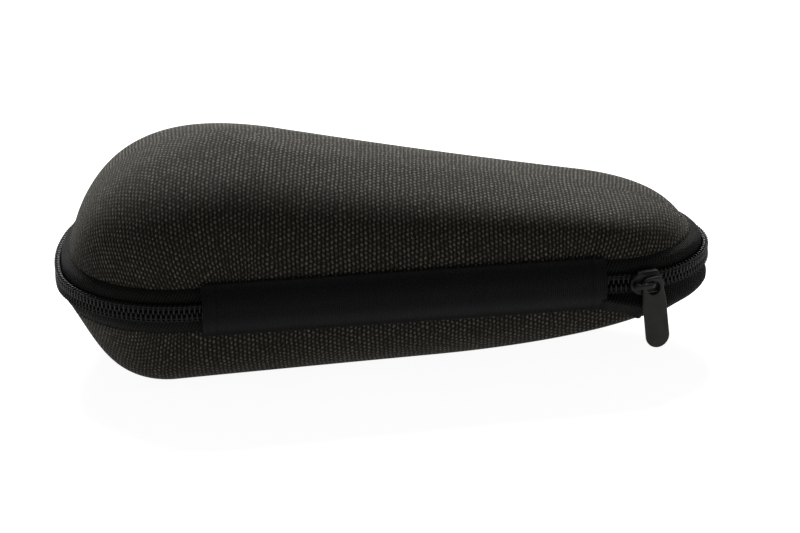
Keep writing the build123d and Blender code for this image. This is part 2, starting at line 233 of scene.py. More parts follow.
class MeshDraft:
    """Collects points and faces in millimetres and makes one mesh object of them."""

    def __init__(self) -> None:
        """Start empty."""
        self.points: list[np.ndarray] = []
        self.faces: list[tuple[int, ...]] = []
        self.uvs: list[np.ndarray] = []
        self.count = 0

    def add_points(self, points: np.ndarray) -> int:
        """Store points.

        Args:
            points: Points, with the three coordinates on the last axis.

        Returns:
            The index of the first.
        """
        first = self.count
        self.points.append(points.reshape(-1, 3))
        self.count += len(self.points[-1])
        return first

    def add_grid(
        self, points: np.ndarray, uv: np.ndarray, wrap_rows: bool = False, wrap_columns: bool = True
    ) -> None:
        """Add a grid of quads.

        Args:
            points: Rows and columns of points.
            uv: Texture coordinates, with one more row or column where the grid wraps.
            wrap_rows: Whether the last row joins the first.
            wrap_columns: Whether the last column joins the first.
        """
        rows, columns = points.shape[:2]
        first = self.add_points(points)
        row, column = np.meshgrid(
            np.arange(rows - 1 + wrap_rows), np.arange(columns - 1 + wrap_columns), indexing="ij"
        )
        corners = [(0, 0), (0, 1), (1, 1), (1, 0)]
        index = [
            first + (row + a) % rows * columns + (column + b) % columns for a, b in corners
        ]
        places = [uv[row + a, column + b] for a, b in corners]
        self.faces.extend(map(tuple, np.stack(index, -1).reshape(-1, 4).tolist()))
        self.uvs.append(np.stack(places, -2).reshape(-1, 2))

    def add_cap(self, ring: np.ndarray) -> None:
        """Close a ring of points with one face."""
        first = self.add_points(ring)
        self.faces.append(tuple(range(first, first + len(ring))))
        self.uvs.append(ring[:, :2] - ring[:, :2].min(axis=0))

    def add_bar(self, points: np.ndarray, uv: np.ndarray) -> None:
        """Add a grid of quads with one face over its first row and one over its last.

        Args:
            points: Rows and columns of points, where the columns wrap.
            uv: Texture coordinates, with one more column.
        """
        self.add_grid(points, uv)
        self.add_cap(points[0])
        self.add_cap(points[-1])

    def finish(self, name: str, placing: Matrix | None = None) -> bpy.types.Object:
        """Make the object, in metres in the frame.

        Args:
            name: The piece's name.
            placing: Where the draft's own axes lie in the case's axes.

        Returns:
            The new object.
        """
        mesh = bpy.data.meshes.new(name)
        mesh.from_pydata(np.concatenate(self.points).tolist(), [], self.faces)
        layer = mesh.uv_layers.new(name="cloth")
        layer.data.foreach_set("uv", (np.concatenate(self.uvs) * MM).astype(np.float32).ravel())
        if placing is not None:
            mesh.transform(placing)
        mesh.transform(Matrix.Translation(Vector(ORIGIN)) @ Matrix.Scale(MM, 4))
        draft = bmesh.new()
        draft.from_mesh(mesh)
        bmesh.ops.remove_doubles(draft, verts=draft.verts, dist=WELD_DISTANCE)
        bmesh.ops.recalc_face_normals(draft, faces=draft.faces)
        draft.to_mesh(mesh)
        draft.free()
        mesh.shade_smooth()
        piece = bpy.data.objects.new(name, mesh)
        bpy.context.scene.collection.objects.link(piece)
        return piece


def rounded_line(
    corners: np.ndarray, share: float | np.ndarray = 0.4, steps: int = 4
) -> np.ndarray:
    """Round the inner corners of broken lines and divide their runs.

    Args:
        corners: Corner points, with the corner on the axis before the last.
        share: How much of the shorter run a bend takes, or a column of one for each line.
        steps: Points on each bend and on each run.

    Returns:
        Points along the rounded lines, laid out as the corners are.
    """
    points = [corners[..., 0, :]]
    for index in range(1, corners.shape[-2] - 1):
        before, here, after = (corners[..., index + k, :] for k in (-1, 0, 1))
        back, ahead = before - here, after - here
        runs = [np.linalg.norm(run, axis=-1, keepdims=True) for run in (back, ahead)]
        reach = share * np.minimum(*runs)
        start, finish = here + back / runs[0] * reach, here + ahead / runs[1] * reach
        last = points[-1]
        points += [last + (start - last) * k / steps for k in range(1, steps)]
        for t in np.linspace(0, 1, steps + 1):
            points.append(start * (1 - t) ** 2 + here * 2 * t * (1 - t) + finish * t**2)
    last, end = points[-1], corners[..., -1, :]
    points += [last + (end - last) * k / steps for k in range(1, steps + 1)]
    return np.stack(points, axis=-2)


def strip_section(centre: np.ndarray, thickness: float) -> np.ndarray:
    """Thicken centre lines into closed cloth sections with softened edges.

    Args:
        centre: Centre lines, with the point on the axis before the last.
        thickness: The cloth's thickness.

    Returns:
        Closed rings of points, laid out as the centre lines are.
    """
    along = unit(np.gradient(centre, axis=-2))
    normal = np.stack([along[..., 1], -along[..., 0]], axis=-1)
    half = np.full(centre.shape[-2], thickness / 2)
    half[[0, -1]] *= CLOTH_EDGE
    offset = normal * half[:, None]
    return np.concatenate([centre + offset, (centre - offset)[..., ::-1, :]], axis=-2)


def running_length(points: np.ndarray, axis: int) -> np.ndarray:
    """Length covered so far along one axis of a grid of points."""
    steps = np.linalg.norm(np.diff(points, axis=axis), axis=-1)
    start = np.zeros_like(np.take(steps, [0], axis=axis))
    return np.cumsum(np.concatenate([start, steps], axis=axis), axis=axis)


def section_corners(stations: np.ndarray, places: list[tuple]) -> np.ndarray:
    """Lay out one broken line for each station.

    Args:
        stations: Distances along the rim.
        places: Inset and height of each corner, each as one value or one for each station.

    Returns:
        Corner points by station and corner.
    """
    plain = np.ones(len(stations))
    return np.stack([np.stack([plain * a, plain * b], -1) for a, b in places], axis=1)


def sweep_rim(
    draft: MeshDraft, stations: np.ndarray, section: np.ndarray, closed: bool = False
) -> None:
    """Sweep cloth or cord sections along the rim.

    Args:
        draft: Where the faces go.
        stations: Distances along the rim.
        section: One ring of (inset, height) points, or one for each station.
        closed: Whether the sweep runs all the way round.
    """
    rings = np.broadcast_to(section, (len(stations), *section.shape[-2:]))
    points = OUTLINE.place(stations[:, None], rings[..., 0], rings[..., 1])
    across = running_length(np.concatenate([rings, rings[:, :1]], axis=1), 1)
    along = np.append(stations, OUTLINE.total()) if closed else stations
    across = np.concatenate([across, across[:1]]) if closed else across
    uv = np.stack([np.broadcast_to(along[:, None], across.shape), across], axis=-1)
    if closed:
        draft.add_grid(points, uv, wrap_rows=True)
    else:
        draft.add_bar(points, uv)


def add_tube(
    draft: MeshDraft, path: np.ndarray, radius: np.ndarray | float, guide: np.ndarray, sides: int
) -> None:
    """Add a round thread or wire.

    Args:
        draft: Where the faces go.
        path: Points along its middle.
        radius: Its radius, or one for each point.
        guide: A direction that the path never follows, or one for each point.
        sides: Sides of its section.
    """
    along = unit(np.gradient(path, axis=0))
    first = unit(np.cross(along, guide))
    second = np.cross(along, first)
    turn = np.linspace(0, math.tau, sides, endpoint=False)
    reach = np.broadcast_to(radius, len(path))[:, None, None]
    ring = first[:, None] * np.cos(turn)[:, None] + second[:, None] * np.sin(turn)[:, None]
    points = path[:, None] + ring * reach
    run = running_length(path, 0)[:, None]
    girth = np.arange(sides + 1) / sides * math.tau * np.broadcast_to(radius, len(path))[:, None]
    draft.add_bar(points, np.stack([np.broadcast_to(run, girth.shape), girth], axis=-1))


def oblong(
    middle: float, half_length: float, half_width: float, bend: float
) -> list[tuple[float, float, float]]:
    """Corners of a rounded oblong whose middle is on the x axis, counterclockwise."""
    signs = ((1, -1), (1, 1), (-1, 1), (-1, -1))
    return [(middle + x * half_length, y * half_width, bend) for x, y in signs]


def star_outline(corners: list[tuple[float, float, float]], count: int) -> np.ndarray:
    """Round a closed plan outline's corners and sample it evenly.

    Args:
        corners: x, y and bend radius of each corner.
        count: Number of points.

    Returns:
        Points along the outline.
    """
    points = []
    number = len(corners)
    for index, (x, y, radius) in enumerate(corners):
        here = np.array([x, y])
        runs = [np.array(corners[(index + k) % number][:2]) - here for k in (-1, 1)]
        lengths, units = [np.linalg.norm(run) for run in runs], [unit(run) for run in runs]
        half = math.acos(np.clip(units[0] @ units[1], -1, 1)) / 2
        reach = min(radius / math.tan(half), 0.499 * min(lengths))
        start, finish = (here + unit * reach for unit in units)
        middle = here + unit(units[0] + units[1]) * (reach / math.cos(half))
        radius = np.linalg.norm(start - middle)
        angles = [math.atan2(*(point - middle)[::-1]) for point in (start, finish)]
        sweep = (angles[1] - angles[0] + math.pi) % math.tau - math.pi
        for t in np.linspace(0, 1, 12):
            angle = angles[0] + sweep * t
            points.append(middle + radius * np.array([math.cos(angle), math.sin(angle)]))
    ring = np.array(points + points[:1])
    run = running_length(ring, 0)
    places = np.linspace(0, run[-1], count, endpoint=False)
    return np.stack([np.interp(places, run, ring[:, k]) for k in (0, 1)], axis=-1)


def bevel_profile(low: float, high: float, bevel: float, steps: int = 5) -> np.ndarray:
    """Work out the edge profile of a plate, from its lower face to its upper.

    Args:
        low: Height of its lower face.
        high: Height of its upper face.
        bevel: Radius of its edges.
        steps: Points on each edge.

    Returns:
        How far in and how high each point of the profile lies.
    """
    turn = np.linspace(0, math.pi / 2, steps)
    inset = bevel * (1 - np.sin(turn))
    rise = bevel * (1 - np.cos(turn))
    lower = np.stack([inset, low + rise], axis=-1)
    upper = np.stack([inset[::-1], high - rise[::-1]], axis=-1)
    return np.concatenate([lower, upper])


def offset_ring(ring: np.ndarray, inset: float) -> np.ndarray:
    """Move a counterclockwise plan outline inward."""
    along = unit(np.roll(ring, -1, axis=0) - np.roll(ring, 1, axis=0))
    return ring + inset * np.stack([-along[:, 1], along[:, 0]], axis=-1)


def add_plate(draft: MeshDraft, ring: np.ndarray, low: float, high: float, bevel: float) -> None:
    """Add a plate with softened edges.

    Args:
        draft: Where the faces go.
        ring: Counterclockwise plan outline.
        low: Height of its lower face.
        high: Height of its upper face.
        bevel: Radius of its edges.
    """
    profile = bevel_profile(low, high, bevel)
    rows = [
        np.column_stack([offset_ring(ring, inset), np.full(len(ring), height)])
        for inset, height in profile
    ]
    points = np.stack(rows)
    run = running_length(np.concatenate([ring, ring[:1]]), 0)
    climb = running_length(profile, 0)
    uv = np.stack(np.meshgrid(run, climb), axis=-1)
    draft.add_bar(points, uv)


# ------------------------------------------------------------- moulded halves


def closing(share: np.ndarray, power: float) -> np.ndarray:
    """How far a rounded wall has closed in, from 0 at its foot to 1 at its crown."""
    return 1 - np.maximum(0, 1 - share**power) ** (1 / power)


def unrolled(rings: np.ndarray, ridge: tuple[float, float], columns: int = 420) -> np.ndarray:
    """Lay a moulded cloth flat, thread by thread, from its ridge outward.

    Args:
        rings: Rings of points, from the crown outward.
        ridge: x of the ridge's head end and handle end.
        columns: How many directions are followed down the moulding.

    Returns:
        Flat cloth coordinates of every point, in millimetres.
    """
    head, handle = ridge
    span = handle - head
    middle = (head + handle) / 2

    def fanned(points: np.ndarray) -> np.ndarray:
        """Points with x as it would be at the crease, as the yarns close in to the crown."""
        spread = 1 - YARN_FAN * (1 - np.abs(points[:, 1]) / OUTLINE.head_half_width)
        return np.column_stack([middle + (points[:, 0] - middle) / spread, points[:, 1:]])

    quarter = math.pi / 2

    def direction(x: np.ndarray, y: np.ndarray) -> np.ndarray:
        """One number for each direction from the ridge.

        Below 0 it turns about the ridge's head end, up to the ridge's length it runs
        straight across, and past that it turns about the ridge's handle end.

        Args:
            x: Places along the case.
            y: Distances from its middle line.

        Returns:
            The numbers.
        """
        at_head = quarter - np.arctan2(y, x - head)
        at_handle = span + quarter - np.arctan2(y, x - handle)
        return np.where(x < head, at_head, np.where(x > handle, at_handle, x - head))

    names = np.concatenate(
        [
            np.linspace(-quarter, 0, columns // 3, endpoint=False),
            np.linspace(0, span, columns // 3, endpoint=False),
            np.linspace(span, span + quarter, columns // 3),
        ]
    )
    lengths, last, tables = np.zeros(len(names)), None, []
    for ring in map(fanned, rings):
        half = ring[ring[:, 1] >= -1e-9]
        half = half[np.argsort(half[:, 0], kind="stable")]
        place = direction(half[:, 0], np.abs(half[:, 1]))
        order = np.argsort(place, kind="stable")
        reach = np.hypot(half[:, 0] - half[:, 0].clip(head, handle), np.abs(half[:, 1]))
        now = [np.interp(names, place[order], value[order]) for value in (reach, half[:, 2])]
        now[0] = np.where((names > place.max()) & (names < span), 0.0, now[0])
        if last is not None:
            step = np.hypot(now[0] - last[0], now[1] - last[1])
            lengths = lengths + np.where(now[0] + last[0] > 1e-6, step, 0.0)
        last = now
        tables.append(lengths)
    flat = []
    for ring, table in zip(map(fanned, rings), tables):
        x, y = ring[:, 0], ring[:, 1]
        place = direction(x, np.abs(y))
        run = np.interp(place, names, table)
        turn = np.where(place < 0, quarter - place, quarter)
        turn = np.where(place > span, quarter - (place - span), turn)
        foot = x.clip(head, handle)
        flat.append(np.stack([foot + np.cos(turn) * run, np.sin(turn) * run * np.sign(y)], -1))
    return np.stack(flat)


@dataclass(frozen=True)
class MouldedHalf:
    """One moulded half: woven cover, foam and lining, loftable at any depth.

    The crown is the angle of the last ring that the wall reaches, in degrees.
    """

    side: Side = Side.LID
    crease: float = 6.6
    crown: float = 82.5
    rows: int = 58
    cap_rows: int = 6
    cap_swell: float = 0.25
    keel_share: float = 0.8

    def ring_ends(self, depth: float, angle: float) -> tuple:
        """Ends of the ring at an angle up the wall, and its share of the full width."""
        raise NotImplementedError

    def ring(self, stations: np.ndarray, depth: float, angle: float) -> np.ndarray:
        """Work out one ring of the surface that lies some depth under the cover's face.

        Args:
            stations: Distances along the rim.
            depth: The depth.
            angle: Angle up or down the wall, in degrees.

        Returns:
            One point for each station.
        """
        inset = CREASE_INSET + depth
        flat = OUTLINE.place(stations, inset, 0)
        head, handle, width_share = self.ring_ends(depth, angle)
        share = flat[:, 0] / (OUTLINE.case_length - 2 * inset)
        x = (head[0] + handle[0]) / 2 + share * (handle[0] - head[0])
        z = (head[1] + handle[1]) / 2 + share * (handle[1] - head[1])
        return np.stack([x, flat[:, 1] * width_share, z], axis=-1)

    def surface(self, stations: np.ndarray, depth: float, rows: int) -> np.ndarray:
        """Work out evenly spaced rings from the middle line to the crease.

        Args:
            stations: Distances along the rim.
            depth: How deep the surface lies under the cover's face.
            rows: Number of rings on the wall.

        Returns:
            Points by ring and station.
        """
        fine = np.linspace(0, self.crown, 240)
        middle = OUTLINE.total() * SPACING_PLACES
        wall = np.stack([self.ring(middle, depth, angle) for angle in fine])
        run = running_length(wall, 0).mean(axis=1)
        angles = np.interp(np.linspace(run[-1], 0, rows), run, fine)
        wall = [self.ring(stations, depth, angle) for angle in angles]
        keel = self.keel(wall[0])
        shares = np.arange(self.cap_rows) / self.cap_rows
        cap = [keel + (wall[0] - keel) * share for share in shares]
        for ring, share in zip(cap, shares):
            ring[:, 2] += self.side.value * self.cap_swell * (1 - share**2)
        return np.stack(cap + wall)

    def keel(self, ring: np.ndarray) -> np.ndarray:
        """Work out the middle line of the crown or sole.

        Args:
            ring: The last ring of the wall.

        Returns:
            The place on the middle line that each point of the ring closes to.
        """
        middle = (ring[:, 0].min() + ring[:, 0].max()) / 2
        slope = np.polyfit(ring[:, 0], ring[:, 2], 1)[0]
        shift = (ring[:, 0] - middle) * (self.keel_share - 1)
        return np.column_stack([ring[:, 0] + shift, 0 * shift, ring[:, 2] + slope * shift])

    def hem(self, stations: np.ndarray, turns: tuple) -> np.ndarray:
        """Roll the cover's edge under at the crease.

        Args:
            stations: Distances along the rim.
            turns: How far in and how far back each ring lies.

        Returns:
            Points by ring and station.
        """
        side = self.side.value
        edge = self.ring(stations, 0, 0)
        inward = OUTLINE.place(stations, 1, 0) - OUTLINE.place(stations, 0, 0)
        rings = [edge + inward * inset - np.array([0, 0, side * drop]) for inset, drop in turns]
        return np.stack(rings)

    def layer(
        self, name: str, depth: float, thickness: float, step: float, hemmed: bool = False
    ) -> bpy.types.Object:
        """Build one layer of the laminate.

        Args:
            name: The piece's name.
            depth: How deep its outer face lies under the cover's face.
            thickness: How thick it is.
            step: Grid size.
            hemmed: Whether its edge rolls under at the crease.

        Returns:
            The layer as one closed mesh.
        """
        stations = OUTLINE.stations(step)
        rows = round(self.rows * RIM_STEP / step)
        outer = self.surface(stations, depth, rows)
        if hemmed:
            outer = np.concatenate([outer, self.hem(stations, HEM_TURNS)])
        inner = self.surface(stations, depth + thickness, rows)
        flats = [unrolled(rings, self.ridge(rings)) for rings in (outer, inner)]
        points = np.concatenate([outer, inner[::-1]])
        flat = np.concatenate([flats[0], flats[1][::-1]])
        draft = MeshDraft()
        draft.add_grid(points, np.concatenate([flat, flat[:, :1]], axis=1))
        return draft.finish(name)

    def ridge(self, rings: np.ndarray) -> tuple[float, float]:
        """x of the two ends of the line that the cloth's yarns are square to."""
        return float(rings[0, :, 0].min()), float(rings[0, :, 0].max())

    def wall_inset(self, stations: np.ndarray, angle: float | np.ndarray = 0.0) -> np.ndarray:
        """Measure how far inside the chain's crest the wall lies.

        Args:
            stations: Distances along the rim.
            angle: Angle up or down the wall in degrees, or one for each station.

        Returns:
            One inset for each station.
        """
        crest = OUTLINE.place(stations, 0, 0)
        normal = crest - OUTLINE.place(stations, 1, 0)
        angles = np.broadcast_to(angle, len(stations))
        insets = []
        for index in range(len(stations)):
            point = self.ring(stations[index : index + 1], 0, angles[index])[0]
            insets.append((crest[index] - point) @ normal[index])
        return np.array(insets)


@dataclass(frozen=True)
class LidHalf(MouldedHalf):
    """The domed lid, high at the head end and low at the handle end."""

    head_height: float = 39.4
    handle_height: float = 18.5
    head_rounding: float = 46.4
    handle_rounding: float = 28.0
    head_draft: float = 0.376
    handle_draft: float = 1.03
    side_draft: float = 0.141
    side_power: float = 2.53
    head_power: float = 2.78
    handle_power: float = 3.48
    nose_fill: float = 1.5
    nose_start: float = 60.0
    toe: float = 1.8
    heel: float = 1.0

    def ring_ends(self, depth: float, angle: float) -> tuple:
        """Ends of the ring at an angle up the wall, and its share of the full width.

        The nose fill lifts the last rings' handle ends, so that the crown line runs into
        the nose without a dip. The toe and the heel draw the crease in at the two ends,
        where the tape is wide.

        Args:
            depth: How deep the ring lies under the cover's face.
            angle: Its angle up the wall, in degrees.

        Returns:
            x and z of its head end, of its handle end, and the share.
        """
        rise, swing = math.sin(math.radians(angle)), math.cos(math.radians(angle))
        inset = CREASE_INSET + depth
        half = OUTLINE.case_length / 2 - inset
        head_rise = (self.head_height - depth - self.crease) * rise ** (2 / self.head_power)
        handle_rise = (self.handle_height - depth - self.crease) * rise ** (2 / self.handle_power)
        nose = max(0, (angle - self.nose_start) / (self.crown - self.nose_start))
        handle_rise += self.nose_fill * nose**1.8
        head_x = self.head_draft * head_rise - half + self.heel * (1 - rise) ** 6
        head_x += self.head_rounding * (1 - swing ** (2 / self.head_power))
        handle_x = half - self.handle_draft * handle_rise - self.toe * (1 - rise) ** 3
        handle_x -= self.handle_rounding * (1 - swing ** (2 / self.handle_power))
        lean = self.side_draft * (head_rise + handle_rise) / 2
        width_share = 1 - lean / (OUTLINE.head_half_width - inset)
        width_share *= swing ** (2 / self.side_power)
        head, handle = (head_x, self.crease + head_rise), (handle_x, self.crease + handle_rise)
        return head, handle, width_share


@dataclass(frozen=True)
class BaseHalf(MouldedHalf):
    """The tray, with a flat foot under its head end and a keel rising to the handle."""

    side: Side = Side.BASE
    crease: float = 7.5
    crown: float = 84.0
    rows: int = 44
    depth_below: float = 27.2
    foot_width_share: float = 0.45
    head_rounding: float = 14.0
    head_draft: float = 0.572
    side_draft: float = 0.037
    head_power: float = 4.2
    side_power: float = 3.1
    keel_run: float = 80.0
    keel_power: float = 2.2
    keel_rounding: float = 22.0
    cap_rows: int = 10
    cap_swell: float = 0.0
    keel_share: float = 0.4
    keel_tip: float = 4.0

    def ring_ends(self, depth: float, angle: float) -> tuple:
        """Ends of the level ring at an angle down the wall, and its share of the width.

        Args:
            depth: How deep the ring lies under the cover's face.
            angle: Its angle down the wall, in degrees.

        Returns:
            x and z of its head end, of its handle end, and the share.
        """
        share = math.sin(math.radians(angle))
        inset = CREASE_INSET + depth
        half = OUTLINE.case_length / 2 - inset
        drop = (self.depth_below - depth - self.crease) * share
        head_x = self.head_draft * drop - half
        head_x += self.head_rounding * closing(share, self.head_power)
        handle_x = half - self.keel_run * share**self.keel_power
        handle_x -= self.keel_rounding * closing(share, 2)
        width_share = 1 - self.side_draft * drop / (OUTLINE.head_half_width - inset)
        width_share *= 1 - (1 - self.foot_width_share) * closing(share, self.side_power)
        level = -self.crease - drop
        return (head_x, level), (handle_x, level), width_share

    def ridge(self, rings: np.ndarray) -> tuple[float, float]:
        """x of the two ends of the line that the cloth's yarns are square to."""
        return float(rings[0, :, 0].min()), float(rings[-1, :, 0].max()) - self.keel_tip

    def inset_below(self, stations: np.ndarray, below: np.ndarray) -> np.ndarray:
        """How far inside the chain's crest the wall lies, at a depth under the crease."""
        share = np.asarray(below) / (self.depth_below - self.crease)
        return self.wall_inset(stations, np.degrees(np.arcsin(np.clip(share, 0, 1))))


LID, BASE = LidHalf(), BaseHalf()


# ----------------------------------------------------------------- node tools


class NodeSketch:
    """Writes a node tree in few words."""

    def __init__(self, tree: bpy.types.NodeTree) -> None:
        """Draw into a tree."""
        self.tree = tree

    def add(self, kind: str, inputs: dict | None = None, **settings: object) -> bpy.types.Node:
        """Add a node.

        Args:
            kind: Its type.
            inputs: What goes into its sockets, as values or as sockets to link.
            **settings: Its own properties.

        Returns:
            The node.
        """
        node = self.tree.nodes.new(kind)
        for key, value in settings.items():
            setattr(node, key, value)
        for key, value in (inputs or {}).items():
            self.feed(node.inputs[key], value)
        return node

    def feed(self, socket: Socket, value: object) -> None:
        """Link a socket to another, or set its value.

        Args:
            socket: The socket.
            value: The other socket, or the value.
        """
        if isinstance(value, Socket):
            self.tree.links.new(value, socket)
        else:
            socket.default_value = value

    def math(self, operation: str, *values: object) -> Socket:
        """One Math node."""
        return self.add("ShaderNodeMath", dict(enumerate(values)), operation=operation).outputs[0]

    def vector(self, operation: str, *values: object) -> Socket:
        """One Vector Math node."""
        node = self.add("ShaderNodeVectorMath", dict(enumerate(values)), operation=operation)
        return node.outputs[0]

    def blend(self, share: object, low: object, high: object) -> Socket:
        """Mix two colours.

        Args:
            share: Share of the second colour.
            low: The first colour.
            high: The second colour.

        Returns:
            The mixed colour.
        """
        inputs = {("Factor", "VALUE"): share, ("A", "RGBA"): low, ("B", "RGBA"): high}
        node = self.tree.nodes.new("ShaderNodeMix")
        node.data_type = "RGBA"
        for socket in node.inputs:
            if (socket.name, socket.type) in inputs:
                self.feed(socket, inputs[socket.name, socket.type])
        return next(socket for socket in node.outputs if socket.type == "RGBA")

    def ramp(self, value: Socket, low: float, high: float, to: tuple = (0.0, 1.0)) -> Socket:
        """Smooth step of a value between two limits."""
        inputs = {0: value, 1: low, 2: high, 3: to[0], 4: to[1]}
        return self.add("ShaderNodeMapRange", inputs, interpolation_type="SMOOTHSTEP").outputs[0]

    def noise(self, vector: object, scale: object, detail: float = 2.0) -> bpy.types.Node:
        """Noise texture."""
        inputs = {"Vector": vector, "Scale": scale, "Detail": detail}
        return self.add("ShaderNodeTexNoise", inputs)

    def effect(self, tree: bpy.types.NodeTree, **inputs: object) -> bpy.types.Node:
        """Place a shared effect.

        Args:
            tree: The effect.
            **inputs: Its own values here, by socket name in lower case.

        Returns:
            The placed node.
        """
        named = {key.replace("_", " ").title(): value for key, value in inputs.items()}
        node = self.tree.nodes.new("ShaderNodeGroup")
        node.node_tree = tree
        for key, value in named.items():
            self.feed(node.inputs[key], value)
        return node


def effect_tree(name: str, inputs: tuple[str, ...], outputs: tuple[str, ...]) -> tuple:
    """Start a shared effect.

    Args:
        name: The effect's name.
        inputs: Names of its number sockets, and Vector for cloth coordinates.
        outputs: Names of the numbers it puts out.

    Returns:
        The tree, a sketch to draw in it, its input node and its output node.
    """
    tree = bpy.data.node_groups.new(name, "ShaderNodeTree")
    for direction, sockets in (("INPUT", inputs), ("OUTPUT", outputs)):
        for key in sockets:
            kind = "NodeSocketVector" if key == "Vector" else "NodeSocketFloat"
            tree.interface.new_socket(key, in_out=direction, socket_type=kind)
    sketch = NodeSketch(tree)
    return tree, sketch, sketch.add("NodeGroupInput"), sketch.add("NodeGroupOutput")


class Effects:
    """Effects that several finishes share, each built once."""

    def __init__(self) -> None:
        """Build every effect."""
        self.dotted_weave = self.build_dotted_weave()
        self.ribbed_weave = self.build_ribbed_weave()
        self.lint = self.build_lint()
        self.casting = self.build_casting()

    def build_dotted_weave(self) -> bpy.types.NodeTree:
        """Canvas of light and dark yarns, light floats in staggered rows, shade painted between
        columns.

        Returns:
            The effect.
        """
        tree, sketch, given, result = effect_tree(
            "dotted_weave",
            ("Vector", "Column Pitch", "Row Pitch", "Disorder"),
            ("Light Yarn", "Unshaded Cord", "Height", "Tone"),
        )
        cloth = given.outputs["Vector"]
        warp = self.stray(sketch, cloth, 240.0, given.outputs["Disorder"])
        fray = self.stray(sketch, cloth, 1300.0, YARN_FRAY)
        place = sketch.vector("ADD", sketch.vector("ADD", cloth, warp), fray)
        parts = sketch.add("ShaderNodeSeparateXYZ", {0: place})
        along = sketch.math("DIVIDE", parts.outputs[0], given.outputs["Column Pitch"])
        across = sketch.math("DIVIDE", parts.outputs[1], given.outputs["Row Pitch"])
        column = sketch.math("FLOOR", along)
        odd = sketch.math("FLOORED_MODULO", column, 2.0)
        shifted = sketch.math("MULTIPLY_ADD", odd, 0.5, across)
        row = sketch.math("FLOOR", shifted)
        x = sketch.math("SUBTRACT", sketch.math("FRACT", along), 0.5)
        light_y = sketch.math("SUBTRACT", sketch.math("FRACT", shifted), 0.5)
        dark_y = sketch.math("SUBTRACT", 0.5, sketch.math("ABSOLUTE", light_y))
        light = self.float_height(sketch, (x, light_y), LIGHT_FLOAT)
        dark = self.float_height(sketch, (x, dark_y), DARK_FLOAT)
        cell = sketch.add("ShaderNodeCombineXYZ", {0: column, 1: row})
        inputs = {"Vector": cell.outputs[0]}
        tone = sketch.add("ShaderNodeTexWhiteNoise", inputs, noise_dimensions="2D")
        sketch.feed(result.inputs["Light Yarn"], sketch.ramp(light, 0.0, 0.6))
        # Unshaded Cord is 1 along each column's middle and falls to 0 in the groove between
        # columns, where painted shade goes.
        sketch.feed(result.inputs["Unshaded Cord"], sketch.ramp(sketch.math("ABSOLUTE", x), 0.42, 0.22))
        cord = sketch.math("COSINE", sketch.math("MULTIPLY", x, math.tau))
        floats = sketch.math("MAXIMUM", light, sketch.math("MULTIPLY", dark, 0.6))
        sketch.feed(result.inputs["Height"], sketch.math("MULTIPLY_ADD", cord, 0.4, floats))
        sketch.feed(result.inputs["Tone"], tone.outputs["Value"])
        return tree

    @staticmethod
    def stray(sketch: NodeSketch, vector: Socket, scale: float, reach: object) -> Socket:
        """How far yarns stray from their grid.

        Args:
            sketch: The tree drawn in.
            vector: Cloth coordinates.
            scale: How closely the straying changes.
            reach: How far it goes.

        Returns:
            The shift.
        """
        noise = sketch.noise(vector, scale, 1.0).outputs["Color"]
        inputs = {0: sketch.vector("SUBTRACT", noise, (0.5, 0.5, 0.5)), "Scale": reach}
        return sketch.add("ShaderNodeVectorMath", inputs, operation="SCALE").outputs[0]

    @staticmethod
    def float_height(sketch: NodeSketch, place: tuple, size: tuple[float, float]) -> Socket:
        """Height of a yarn float over its own centre.

        Args:
            sketch: The tree drawn in.
            place: Both shares of the cell, from the float's centre.
            size: Half of the float's width and length, as shares of the cell.

        Returns:
            The height, from 0 to 1.
        """
        squares = [
            sketch.math("POWER", sketch.math("ABSOLUTE", sketch.math("DIVIDE", value, reach)), 2.0)
            for value, reach in zip(place, size)
        ]
        bulge = sketch.math("SUBTRACT", 1.0, sketch.math("ADD", *squares))
        return sketch.math("MAXIMUM", bulge, 0.0)

    def build_ribbed_weave(self) -> bpy.types.NodeTree:
        """Dense ribbed cloth, straight or leaning as a twill.

        Returns:
            The effect.
        """
        tree, sketch, given, result = effect_tree(
            "ribbed_weave", ("Vector", "Rib Pitch", "Yarn Pitch", "Lean"), ("Height", "Rib")
        )
        wander = sketch.noise(given.outputs["Vector"], 300.0, 1.0).outputs["Fac"]
        parts = sketch.add("ShaderNodeSeparateXYZ", {0: given.outputs["Vector"]})
        x, y = parts.outputs[:2]
        leant = sketch.math("MULTIPLY_ADD", y, given.outputs["Lean"], x)
        strayed = sketch.math("MULTIPLY_ADD", wander, RIB_WANDER, leant)
        ribs = sketch.math("DIVIDE", strayed, given.outputs["Rib Pitch"])
        index = sketch.math("FLOOR", ribs)
        rib = sketch.math("SINE", sketch.math("MULTIPLY", sketch.math("FRACT", ribs), math.pi))
        yarns = sketch.math("DIVIDE", y, given.outputs["Yarn Pitch"])
        stepped = sketch.math("MULTIPLY_ADD", index, 0.5, yarns)
        yarn = sketch.math("SINE", sketch.math("MULTIPLY", sketch.math("FRACT", stepped), math.pi))
        sketch.feed(result.inputs["Rib"], rib)
        bump = sketch.math("MULTIPLY", rib, sketch.math("MULTIPLY_ADD", yarn, 0.5, 0.5))
        sketch.feed(result.inputs["Height"], bump)
        return tree

    def build_lint(self) -> bpy.types.NodeTree:
        """Loose fibres and slow colour drift of yarn-dyed cloth.

        Returns:
            The effect.
        """
        tree, sketch, given, result = effect_tree(
            "lint", ("Vector", "Fineness"), ("Drift", "Fibre")
        )
        drift = sketch.noise(given.outputs["Vector"], 45.0, 3.0).outputs["Fac"]
        fine = sketch.noise(given.outputs["Vector"], given.outputs["Fineness"], 3.0).outputs["Fac"]
        sketch.feed(result.inputs["Drift"], sketch.ramp(drift, 0.3, 0.7))
        sketch.feed(result.inputs["Fibre"], sketch.ramp(fine, 0.32, 0.7))
        return tree

